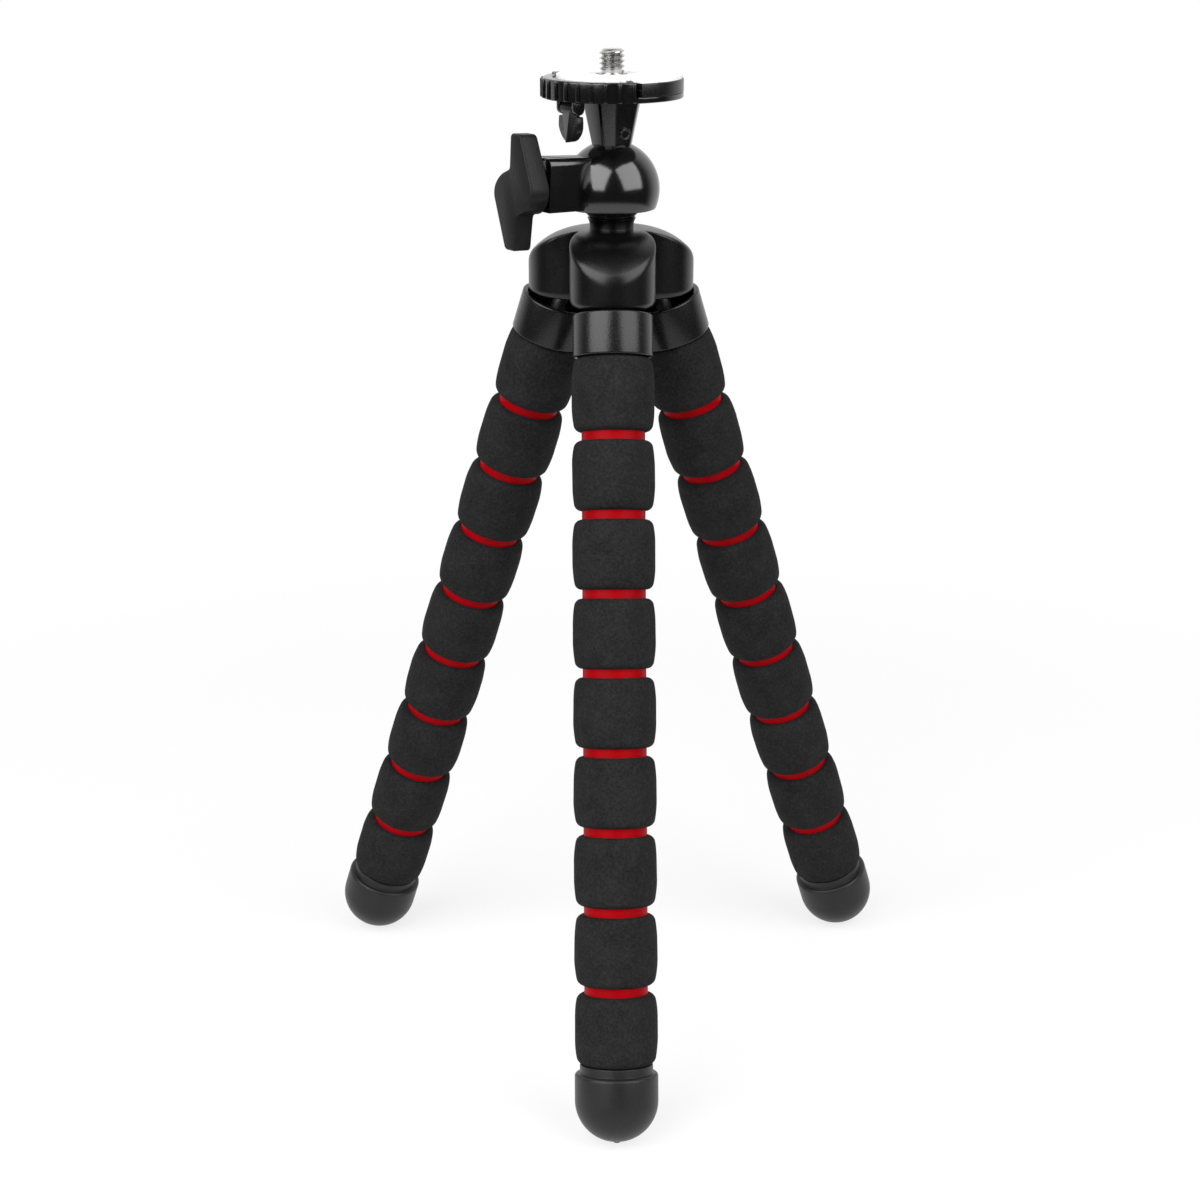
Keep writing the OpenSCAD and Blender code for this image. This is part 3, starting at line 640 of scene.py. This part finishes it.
class TRIPOD_OT_wires(bpy.types.Operator):
    """Lengths of the core wire, from the hub to the foot, the first one bent under the hub"""
    bl_idname = "tripod.wires"
    bl_label = "Core Wires"

    def execute(self, context):
        sizes = context.scene.tripod_legs
        for leg in LEGS:
            place = leg_axes(leg)
            first_half = (band_distance(leg, 0) + band_distance(leg, 1)) / 2
            bends = [sizes.wire_bend * part for part in (-1, -0.5, 0, 0.5, 1)]
            bm = self.rod(sizes, [-sizes.wire_grip] + bends + [first_half])
            lean = math.acos(-(place.to_3x3() @ Vector((0, 0, 1))).z)
            for ring, part in zip([-sizes.wire_grip] + bends[:4], (1, 1, 0.8, 0.5, 0.2)):
                verts = [vert for vert in bm.verts if abs(vert.co.z - ring) < 1e-5]
                bmesh.ops.rotate(bm, verts=verts, cent=(0, 0, 0), matrix=Matrix.Rotation(lean * part, 3, "Y"))
            piece = finished(bm, f"{leg}_wire_root", [f"{leg}_core_wire"], "wire", place)
            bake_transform(piece)
            for number in range(1, SLEEVES):
                middle = band_distance(leg, number)
                half = (band_distance(leg, 1) - band_distance(leg, 0)) / 2
                far = middle + half
                if number == SLEEVES - 1:
                    far += half - sizes.band / 2 + sizes.wire_in_foot
                rings = [middle - half] + [middle + sizes.band * part for part in (-0.5, 0, 0.5)] + [far]
                piece = finished(self.rod(sizes, rings), f"{leg}_wire_{number}", [f"{leg}_core_wire"], "wire",
                                 place)
                bend_at_band(piece)
        return {"FINISHED"}

    def rod(self, sizes, rings):
        side = [(sizes.wire_radius, ring, 0) for ring in rings]
        return lathe([(0, rings[0], 0)] + side + [(0, rings[-1], 0)], steps=24)


class TRIPOD_OT_cups(bpy.types.Operator):
    """Cups at the tops of the legs, around the underside of the hub's lobes"""
    bl_idname = "tripod.cups"
    bl_label = "Leg Cups"

    def execute(self, context):
        sizes = context.scene.tripod_legs
        for leg in LEGS:
            low = band_distance(leg, 0)
            top = low - sizes.cup_height
            outside = sizes.cup_radius
            inside = outside - sizes.cup_wall
            edge = 0.0005
            bm = lathe([(sizes.tube_bore, low, 0), (outside, low, edge), (outside, top, edge),
                        (inside, top, 0.0004), (inside, low - sizes.cup_floor, 0.001),
                        (sizes.tube_bore, low - sizes.cup_floor, 0.0003)], closed=True, steps=96)
            finished(bm, f"{leg}_cup", [f"{leg}_collar"], "satin_black", leg_axes(leg), f"{leg}_link_1")
        return {"FINISHED"}


class TRIPOD_OT_feet(bpy.types.Operator):
    """Rubber feet with a neck, a round end and a small nub"""
    bl_idname = "tripod.feet"
    bl_label = "Feet"

    def execute(self, context):
        sizes = context.scene.tripod_legs
        for leg in LEGS:
            top = band_distance(leg, SLEEVES) - sizes.band / 2
            rim = top + sizes.band
            end = rim + sizes.foot_length
            neck, wide = sizes.foot_neck_radius, sizes.foot_radius
            bm = lathe([(0, top, 0), (neck, top, 0.0003), (neck, rim, 0.0002), (wide, rim, 0.0009),
                        (wide, end, sizes.foot_round), (0, end, 0)], steps=72)
            root, tip = end - 0.0004, end + 0.0004
            nub = lathe([(0, root, 0), (0.0012, root, 0), (0.0008, tip, 0.0002), (0, tip, 0)], steps=24)
            finished(joined(bm, nub), f"{leg}_foot_cap", [f"{leg}_foot"], "foot_rubber", leg_axes(leg),
                     f"{leg}_link_{SLEEVES}")
        return {"FINISHED"}


def soft_min(first, second, width):
    """The lesser of two values, rounded off where they meet."""
    nearness = max(width - abs(first - second), 0.0) / width
    return min(first, second) - nearness * nearness * width / 4


class TRIPOD_OT_hub(bpy.types.Operator):
    """Domed hub with three round lobes"""
    bl_idname = "tripod.hub"
    bl_label = "Hub"

    def execute(self, context):
        sizes = context.scene.tripod_head
        outer = sizes.hub_seat + sizes.hub_height
        inside = outer - sizes.hub_wall
        recess = sizes.hub_recess
        bm = bmesh.new()
        points = [bm.verts.new(place) for place in (
            (0, 0, sizes.hub_height), (outer, 0, sizes.hub_height), (outer, 0, 0), (inside, 0, 0),
            (inside, 0, recess), (0, 0, recess))]
        for first, second in zip(points, points[1:]):
            bm.edges.new((first, second))
        rings, spokes = 110, 360
        bevelled(bm, [points[1]], sizes.hub_height * NEARLY_ALL, "VERTICES", rings)
        spun(bm, FULL_TURN, spokes, use_merge=True)
        tidy(bm)
        for vert in bm.verts:
            self.shape(vert, sizes, inside)
        bmesh.ops.recalc_face_normals(bm, faces=bm.faces)
        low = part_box("hub_shell")[0].z
        finished(bm, "hub_body", ["hub_shell"], "gloss_black", Matrix.Translation((0, 0, low)), "hub", 50,
                 "hub_black")
        return {"FINISHED"}

    def shape(self, vert, sizes, inside):
        """Draws a point of the dome in to the lobes, or a point of the recess to its wall."""
        radius = math.hypot(vert.co.x, vert.co.y)
        if radius < 1e-6:
            return
        reach = self.reach(sizes, math.atan2(vert.co.y, vert.co.x))
        if radius <= inside + 1e-6 and vert.co.z < sizes.hub_recess + 1e-4:
            fitted = min(radius, reach - sizes.hub_wall)
        else:
            foot = max(0.0, sizes.lobe_edge - vert.co.z)
            tuck = sizes.lobe_edge - math.sqrt(max(0.0, sizes.lobe_edge ** 2 - foot ** 2))
            fitted = soft_min(radius, reach - tuck, sizes.hub_blend)
        set_reach(vert, fitted)

    def reach(self, sizes, direction):
        """Distance from the axis to the lobes' outline."""
        blend = 0.0006
        off = (direction - FIRST_LOBE) % LOBE_STEP
        off = min(off, LOBE_STEP - off)
        side = sizes.lobe_centre * math.sin(off)
        far = 0.0
        if side < sizes.lobe_radius:
            far = sizes.lobe_centre * math.cos(off) + math.sqrt(sizes.lobe_radius ** 2 - side ** 2)
        return -soft_min(-far, -(sizes.lobe_centre - sizes.lobe_edge), blend)


class TRIPOD_OT_stem(bpy.types.Operator):
    """Stem between the hub and the ball, with a flare under the socket"""
    bl_idname = "tripod.stem"
    bl_label = "Stem"

    def execute(self, context):
        sizes = context.scene.tripod_head
        low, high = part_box("ball_stem")
        height = high.z - low.z
        edge = 0.0002
        bm = lathe([(0, 0, 0), (sizes.stem_foot, 0, 0), (sizes.stem_radius, height / 2, 0.0015),
                    (sizes.stem_flare, height - edge, edge / 2), (sizes.stem_flare - edge, height, 0),
                    (0, height, 0)])
        finished(bm, "stem", ["ball_stem"], "gloss_black", Matrix.Translation((0, 0, low.z)), "hub",
                 look="hub_black")
        return {"FINISHED"}


class TRIPOD_OT_socket(bpy.types.Operator):
    """Ball socket, open below and slotted at the back, with its grooved clamp boss"""
    bl_idname = "tripod.socket"
    bl_label = "Ball Socket"

    def execute(self, context):
        sizes = context.scene.tripod_head
        shell = carved(self.shell(sizes), self.slot(sizes))
        boss = moved(self.boss(sizes), head_axes().inverted() @ clamp_axes())
        finished(joined(shell, boss), "socket_body", ["ball_socket"], "gloss_black", head_axes(), "socket",
                 40)
        return {"FINISHED"}

    def shell(self, sizes):
        """Hollow ball, cut off below at its rim."""
        corners = []
        for radius, order in ((sizes.socket_radius, 1), (sizes.socket_bore, -1)):
            tuck = radius * math.tan(math.asin(sizes.socket_rim / radius) / 2)
            edge = math.sqrt(radius ** 2 - sizes.socket_rim ** 2)
            corners += [(0, radius, 0), (radius, radius, radius * NEARLY_ALL), (radius, -tuck, tuck * 0.9),
                        (edge, -sizes.socket_rim, 0.0002)][::order]
        return lathe(corners, steps=128)

    def slot(self, sizes):
        half = sizes.slot_radius
        depth = 0.02
        round_end = half * 0.999
        bm = slab([(-half, -depth, 0), (half, -depth, 0), (half, half, round_end), (-half, half, round_end)],
                  depth)
        return moved(bm, turned(90, "X") @ Matrix.Translation((0, 0, -depth)))

    def boss(self, sizes):
        half = sizes.boss_width / 2
        top = sizes.boss_top
        low = -sizes.socket_rim
        groove = top - sizes.groove_depth
        edge, groove_edge = 0.0003, 0.00015
        outline = [(low, -half, edge), (low, half, edge), (top, half, sizes.boss_edge)]
        for middle in (sizes.groove_offset, -sizes.groove_offset):
            near, far = middle + sizes.groove_width / 2, middle - sizes.groove_width / 2
            outline += [(top, near, groove_edge), (groove, near, 0), (groove, far, 0),
                        (top, far, groove_edge)]
        bm = slab(outline + [(top, -half, sizes.boss_edge)], sizes.boss_end)
        soften(bm, edge, lambda rim: min(vert.co.z for vert in rim.verts) > sizes.boss_end / 2, limit=60)
        bmesh.ops.poke(bm, faces=[face for face in bm.faces if face.calc_center_median().z < 1e-6])
        seat = (sizes.socket_radius + sizes.socket_bore) / 2 + 0.0007
        for vert in bm.verts:
            if vert.co.z < 1e-6:
                vert.co.y *= sizes.boss_waist
                vert.co.z = math.sqrt(max(0.0, seat ** 2 - vert.co.x ** 2 - vert.co.y ** 2))
        return bm


class TRIPOD_OT_knob(bpy.types.Operator):
    """Wing knob with two slanted wings and a round boss behind"""
    bl_idname = "tripod.knob"
    bl_label = "Wing Knob"

    def execute(self, context):
        sizes = context.scene.tripod_head
        # half of the outline, as (across, up, rounding)
        half = [(-0.0017, 0.0143, 0.001), (0.0027, 0.0143, 0.0009), (0.00895, 0.0003, 0.0021),
                (0.0065, -0.0036, 0.0021), (0.00171, -0.00565, 0.0007)]
        whole = half + [(-across, -up, rounding) for across, up, rounding in half]
        bm = slab([(up, -across, rounding) for across, up, rounding in whole], sizes.knob_thickness)
        soften(bm, sizes.knob_edge, lambda edge: abs(edge.verts[0].co.z - edge.verts[1].co.z) < 1e-6,
               limit=50)
        thinning, start, run = 0.0005, 0.006, 0.008
        for vert in bm.verts:
            if vert.co.z < sizes.knob_thickness / 2:
                vert.co.z += thinning * min(1.0, max(0.0, (abs(vert.co.x) - start) / run))
        moved(bm, Matrix.Translation((0, 0, sizes.knob_back)))
        near, back = sizes.knob_near, sizes.knob_back
        radius, edge = 0.0055, 0.0003
        boss = lathe([(0, near, 0), (radius, near, edge), (radius, back, edge),
                      (radius + edge, back + 0.0006, 0), (0, back + 0.0012, 0)])
        finished(joined(bm, boss), "wing_knob", ["lock_knob"], "knob_grey", clamp_axes(), "knob", 40)
        return {"FINISHED"}


def with_step(bm, middle, half, inner):
    """Draws the side of a round piece that faces the ribbed rim in to the given radius."""
    for vert in bm.verts:
        radius = math.hypot(vert.co.x, vert.co.y)
        off = (math.atan2(vert.co.y, vert.co.x) - middle + math.pi) % FULL_TURN - math.pi
        limit = inner(vert.co.z)
        if abs(off) < half and radius > limit:
            set_reach(vert, limit)
    return bm


def rim_direction():
    """Direction of the ribbed rim's middle about the head's axis, in the head's own axes."""
    out = head_axes().to_3x3().inverted() @ (lever_axes().to_3x3() @ Vector((1, 0, 0)))
    return math.atan2(out.y, out.x)


class TRIPOD_OT_holder(bpy.types.Operator):
    """Faceted neck, round tray and ribbed rim that hold the camera plate"""
    bl_idname = "tripod.holder"
    bl_label = "Plate Holder"

    def execute(self, context):
        sizes = context.scene.tripod_head
        middle = rim_direction()
        low = sizes.tray_rise
        top = low + sizes.rim_height
        half = sizes.rim_span / 2
        wide = sizes.tray_radius
        floor = low + 0.0014
        tray = lathe([(0, low, 0), (wide, low, 0.0003), (wide, floor, 0.0002), (0, floor, 0)], steps=180)
        with_step(tray, middle, half + math.radians(4), lambda height: sizes.rim_radius)
        lip, inner, under = 0.0148, 0.0154, top - 0.0015
        section = [(inner, low + 0.001, 0), (inner, under, 0.0002), (lip, under, 0.0001), (lip, top, 0.0002),
                   (sizes.rim_radius, top, 0.0004), (sizes.rim_radius, low, 0.0003), (0.0158, low, 0)]
        wall = arc_wall(section, middle - half, 2 * half, 84)
        ribs, rib_radius, rib_low, rib_top = 12, 0.0006, low + 0.0001, top - 0.0002
        rib = lathe([(0, rib_low, 0), (rib_radius, rib_low, 0.0003), (rib_radius, rib_top, 0.0003),
                     (0, rib_top, 0)], steps=12)
        moved(rib, Matrix.Rotation(middle - half, 4, "Z") @ Matrix.Translation((sizes.rim_radius, 0, 0)))
        spun(rib, 2 * half, ribs, use_duplicate=True)
        tips = [self.tip(middle + side * (half - math.radians(2.6)), top) for side in (-1, 1)]
        ears = [self.ear(sizes, side) for side in (-1, 1)]
        bm = joined(tray, wall, rib, self.neck(sizes), self.plug(), *tips, *ears)
        finished(bm, "plate_tray", ["plate_holder"], "gloss_black", head_axes(), "socket")
        return {"FINISHED"}

    def neck(self, sizes):
        foot = 0.0109
        taper = (sizes.neck_top - sizes.neck_bottom) / (sizes.tray_rise - sizes.socket_radius)
        width = sizes.neck_bottom - taper * (sizes.socket_radius - foot)
        cut = width * 0.222
        half = width / 2
        bm = bmesh.new()
        points = [bm.verts.new((x * half, y * half, foot)) for x, y in ((1, 1), (-1, 1), (-1, -1), (1, -1))]
        bm.faces.new(points)
        bevelled(bm, points, cut, "VERTICES", 1)
        verts = raise_faces(bm, sizes.tray_rise + 0.0003 - foot)
        bmesh.ops.scale(bm, verts=verts, vec=(sizes.neck_top / width, sizes.neck_top / width, 1))
        tidy(bm)
        return soften(bm, 0.0006, lambda edge: abs(edge.verts[0].co.z - edge.verts[1].co.z) > 0.001)

    def plug(self):
        """Small round plug on the neck's right facet."""
        radius, lip, root, face, dish = 0.0016, 0.0012, -0.0006, 0.0004, 0.0002
        bm = lathe([(0, root, 0), (radius, root, 0), (radius, face, 0.0002), (lip, face, 0.0001),
                    (0.0011, dish, 0.0001), (0, dish, 0)], steps=32)
        seat = Matrix.Translation((0.0003, -0.00515, 0.0142))
        return moved(bm, seat @ turned(100, "X"))

    def tip(self, direction, top):
        """Raised end of the ribbed rim."""
        near, far, half, edge = 0.015, 0.0171, 0.0007, 0.0003
        bm = slab([(near, -half, edge), (far, -half, edge), (far, half, edge), (near, half, edge)], 0.0012)
        soften(bm, 0.0002, lambda rim: min(vert.co.z for vert in rim.verts) > 0.001)
        return moved(bm, Matrix.Rotation(direction, 4, "Z") @ Matrix.Translation((0, 0, top - 0.0008)))

    def ear(self, sizes, side):
        """Ear beside the lever's barrel, round below its pin."""
        half, root, round_end, thickness = 0.0016, 0.0021, 0.0015, 0.0012
        bm = slab([(-half, root, 0), (-half, -half, round_end), (half, -half, round_end), (half, root, 0)],
                  thickness)
        soften(bm, 0.0002, limit=60)
        off = side * (sizes.lever_barrel / 2 + 0.00065) + thickness / 2
        turn = Matrix.Translation((0, off, 0)) @ turned(90, "X")
        return moved(bm, head_axes().inverted() @ lever_axes() @ turn)


class TRIPOD_OT_lever(bpy.types.Operator):
    """Leaf-shaped release lever with a ridge down its face"""
    bl_idname = "tripod.lever"
    bl_label = "Release Lever"

    def execute(self, context):
        sizes = context.scene.tripod_head
        half = sizes.lever_width / 2
        barrel_half = sizes.lever_barrel / 2
        end = sizes.lever_length
        radius, edge, slant, ridge = 0.0016, 0.0003, 0.22, 0.0009
        side = [(0, barrel_half, 0), (0.002, barrel_half, 0), (0.00195, half * 0.93, edge),
                (0.0042, half, 0.0012), (0.0062, half * 0.86, 0.0014), (end, half * 0.3, 0.0016)]
        blade = slab(side + [(x, -y, rounding) for x, y, rounding in reversed(side)], sizes.lever_thickness)
        bmesh.ops.bisect_plane(blade, geom=everything(blade), dist=1e-7,
                               plane_co=(end, 0, 0), plane_no=(slant, 1, 0))
        for vert in blade.verts:
            off = abs(vert.co.y + slant * (vert.co.x - end))
            if vert.co.z > sizes.lever_thickness / 2 and off > 1e-5:
                vert.co.z -= ridge
        tidy(blade)
        soften(blade, edge, limit=12)
        moved(blade, Matrix.Translation((radius - sizes.lever_thickness, 0, 0)) @ turned(90, "Y"))
        barrel = lathe([(0, -barrel_half, 0), (radius, -barrel_half, edge), (radius, barrel_half, edge),
                        (0, barrel_half, 0)], steps=32)
        moved(barrel, turned(90, "X"))
        finished(joined(blade, barrel), "lever_leaf", ["release_lever"], "satin_black", lever_axes(), "lever")
        return {"FINISHED"}


class TRIPOD_OT_plate(bpy.types.Operator):
    """Camera plate with its flange, and the pale pad on it"""
    bl_idname = "tripod.plate"
    bl_label = "Camera Plate"

    def execute(self, context):
        sizes = context.scene.tripod_head
        head = head_axes()
        middle = rim_direction()
        half = sizes.rim_span / 2 + math.radians(4)
        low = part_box("quick_release_plate")[0].z - head.translation.z
        pad_low, pad_high = (corner.z - head.translation.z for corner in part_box("plate_pad"))
        wide = sizes.tray_radius
        well, bore, depth, flange = 0.0069, 0.00356, low + 0.0019, low + 0.0016
        hole, pad_wide = 0.0039, wide - 0.0004
        step_below, step_above, step_pad = 0.015, 0.0144, 0.0139
        plate = lathe([(well, low, 0), (well, depth, 0), (bore, depth, 0), (bore, pad_low, 0),
                       (wide, pad_low, 0.0004), (wide, flange + 0.00005, 0), (wide, flange, 0),
                       (wide, low, 0.0002)], closed=True, steps=180)
        with_step(plate, middle, half,
                  lambda height: step_below if height < flange + 0.00002 else step_above)
        finished(plate, "camera_plate", ["quick_release_plate"], "satin_black", head, "plate", 40)
        pad = lathe([(hole, pad_low, 0), (hole, pad_high, 0.0001), (pad_wide, pad_high, 0.0003),
                     (pad_wide, pad_low, 0)], closed=True, steps=180)
        with_step(pad, middle, half, lambda height: step_pad)
        finished(pad, "camera_pad", ["plate_pad"], "pale_pad", head, "plate", 40)
        return {"FINISHED"}


class TRIPOD_OT_screw(bpy.types.Operator):
    """Camera screw with a helical thread"""
    bl_idname = "tripod.screw"
    bl_label = "Camera Screw"

    def execute(self, context):
        sizes = context.scene.tripod_head
        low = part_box("camera_screw")[0].z
        pad = joint_place("camera_screw_turn").z
        top = pad + sizes.screw_out
        start = pad + 0.0006
        core = sizes.screw_radius - 0.0006
        per_turn = 48
        turns = (top - start) / sizes.screw_pitch - 0.2
        thread = bmesh.new()
        tooth = [thread.verts.new((radius, 0, start + rise)) for radius, rise in (
            (core - 0.0002, -0.0005), (sizes.screw_radius, -0.0001), (sizes.screw_radius, 0.0001),
            (core - 0.0002, 0.0005))]
        thread.faces.new(tooth)
        steps = int(per_turn * turns)
        spun(thread, FULL_TURN * turns, steps, dvec=(0, 0, sizes.screw_pitch * turns / steps))
        tidy(thread)
        for vert in thread.verts:
            radius = math.hypot(vert.co.x, vert.co.y)
            fitted = min(radius, sizes.screw_radius - max(0.0, vert.co.z - (top - 0.0006)))
            set_reach(vert, fitted)
            vert.co.z = min(max(vert.co.z, pad), top - 0.00005)
        head, plain, under, edge = 0.0065, 0.0035, low + 0.0018, 0.0002
        shank = lathe([(0, low, 0), (head, low, edge), (head, under, edge), (plain, under, 0),
                       (plain, pad + edge, edge / 2), (core, pad + 0.0003, 0), (core, top - 0.0004, 0),
                       (core - 0.0004, top, 0.0001), (0, top, 0)], steps=48)
        finished(joined(shank, thread), "camera_bolt", ["camera_screw"], "bright_steel", Matrix.Identity(4),
                 "camera_screw", 30)
        return {"FINISHED"}


class TRIPOD_OT_inner_parts(bpy.types.Operator):
    """Finishes of the solids that stay as they are, most of them inside"""
    bl_idname = "tripod.inner_parts"
    bl_label = "Inner Parts"

    def execute(self, context):
        slots = {part["node"]: part["material_slot"] for part in frame["record"]["subparts"]}
        for node in ("hub_cover", "head_bolt", "ball", "lock_screw", "lock_nut", "brake_shoe", "lever_pin"):
            mesh = frame["nodes"][node].data
            mesh.materials.clear()
            mesh.materials.append(finish(slots[node]))
        return {"FINISHED"}


class TRIPOD_OT_stage(bpy.types.Operator):
    """White floor and background, three softboxes and the camera"""
    bl_idname = "tripod.stage"
    bl_label = "Stage"

    def execute(self, context):
        stage = context.scene.tripod_stage
        context.scene.view_settings.view_transform = "Standard"
        self.floor(stage)
        self.background(context, stage)
        self.softbox("left_softbox", stage.left_power, (0.98, 0.94), azimuth=224.5, elevation=33)
        self.softbox("right_softbox", stage.right_power, (0.86, 0.94), azimuth=322, elevation=33)
        top = self.softbox("top_softbox", stage.top_power, (1.0, 1.0), azimuth=270, elevation=86)
        top.visible_glossy = False
        self.camera(context)
        return {"FINISHED"}

    def floor(self, stage):
        """White floor that takes faint shadows, and fades into the background."""
        bm = bmesh.new()
        bmesh.ops.create_circle(bm, cap_ends=True, segments=96, radius=stage.floor_radius)
        mesh = as_mesh(bm, "floor")
        floor = linked("floor", mesh)
        floor.location.z = -0.0002
        nodes = Nodes(bpy.data.materials.new("floor_white"))
        mesh.materials.append(nodes.owner)
        nodes.surface(Base_Color=(0.9, 0.9, 0.9, 1.0), Roughness=0.9)
        seen, glossy, through = nodes.rays()
        reach = nodes.add("ShaderNodeVectorMath", {"operation": "LENGTH"}, {0: nodes.place()}, "Value")
        edge = nodes.add("ShaderNodeMapRange", {"interpolation_type": "SMOOTHSTEP"}, {
            "Value": reach, "From Min": stage.floor_radius * 0.45, "From Max": stage.floor_radius * 0.95})
        white = stage.floor_white + edge * (1 - stage.floor_white)
        plain = nodes.add("ShaderNodeEmission", {}, {"Color": (1, 1, 1, 1), "Strength": 1.0})
        mixed = nodes.add("ShaderNodeMixShader", {}, {
            0: (seen + glossy + through) * white,
            1: Wire(nodes, nodes.tree.nodes["Principled BSDF"].outputs[0]), 2: plain})
        nodes.feed(nodes.tree.nodes["Material Output"], {"Surface": mixed})

    def background(self, context, stage):
        """White for the camera and for mirrors that face the back, and a faint light from all round."""
        world = bpy.data.worlds.new("studio")
        context.scene.world = world
        nodes = Nodes(world)
        seen, glossy, through = nodes.rays()
        direction = nodes.add("ShaderNodeTexCoord", output="Generated")
        back = nodes.add("ShaderNodeSeparateXYZ", {}, {"Vector": direction}, "Y")
        wall = nodes.add("ShaderNodeMapRange", {"interpolation_type": "SMOOTHSTEP"}, {
            "Value": back, "From Min": 0.0, "From Max": 0.6})
        white = seen + (1 - seen) * (glossy + through) * wall
        nodes.feed(nodes.tree.nodes["Background"], {
            "Color": (1, 1, 1, 1), "Strength": stage.ambient + white * (1 - stage.ambient)})

    def softbox(self, name, watts, box, azimuth, elevation):
        """Area light that faces the legs and head from a direction in degrees."""
        target = Vector((0, 0, 0.19))
        distance = 0.9
        turn = Euler((0, -math.radians(elevation), math.radians(azimuth))).to_matrix()
        away = turn @ Vector((distance, 0, 0))
        lamp = bpy.data.lights.new(name, "AREA")
        lamp.shape = "RECTANGLE"
        lamp.size, lamp.size_y = box
        lamp.energy = watts
        light = linked(name, lamp)
        facing = away.to_track_quat("Z", "Y").to_matrix().to_4x4()
        light.matrix_world = Matrix.Translation(target + away) @ facing
        light.visible_camera = False
        return light

    def camera(self, context):
        """The photograph's camera, fitted to the red bands of the three legs."""
        lens = bpy.data.cameras.new("photo_camera")
        lens.sensor_width = 36
        lens.lens = 66.642
        lens.clip_start = 0.01
        camera = linked("photo_camera", lens)
        camera.matrix_world = (turned(-0.874, "Z")
                               @ Matrix.Translation((-0.00297, -0.5672, 0.3077))
                               @ Euler((math.radians(71.316), 0, 0)).to_matrix().to_4x4())
        context.scene.camera = camera


STEPS = (TRIPOD_OT_sleeves, TRIPOD_OT_tubes, TRIPOD_OT_wires, TRIPOD_OT_cups, TRIPOD_OT_feet, TRIPOD_OT_hub,
         TRIPOD_OT_stem, TRIPOD_OT_socket, TRIPOD_OT_knob, TRIPOD_OT_holder, TRIPOD_OT_lever, TRIPOD_OT_plate,
         TRIPOD_OT_screw, TRIPOD_OT_inner_parts, TRIPOD_OT_stage)


class TRIPOD_PT_panel(bpy.types.Panel):
    """The steps that build the tripod"""
    bl_label = "Flexible Leg Tripod"
    bl_idname = "TRIPOD_PT_panel"
    bl_space_type = "VIEW_3D"
    bl_region_type = "UI"
    bl_category = "Tripod"

    def draw(self, context):
        for step in STEPS:
            self.layout.operator(step.bl_idname)
        for group in GROUPS:
            owner = getattr(context.scene, group)
            column = self.layout.column()
            for name in owner.__annotations__:
                column.prop(owner, name)


GROUPS = {"tripod_legs": TripodLegSizes, "tripod_head": TripodHeadSizes, "tripod_finishes": TripodFinishes,
          "tripod_stage": TripodStage}


def register():
    for group in GROUPS.values():
        bpy.utils.register_class(group)
    for step in STEPS:
        bpy.utils.register_class(step)
    bpy.utils.register_class(TRIPOD_PT_panel)
    for name, group in GROUPS.items():
        setattr(bpy.types.Scene, name, bpy.props.PointerProperty(type=group))


def unregister():
    for name in GROUPS:
        delattr(bpy.types.Scene, name)
    bpy.utils.unregister_class(TRIPOD_PT_panel)
    for step in reversed(STEPS):
        bpy.utils.unregister_class(step)
    for group in GROUPS.values():
        bpy.utils.unregister_class(group)


def main():
    register()
    for step in STEPS:
        group, name = step.bl_idname.split(".")
        getattr(getattr(bpy.ops, group), name)()


if __name__ == "__main__":
    main()
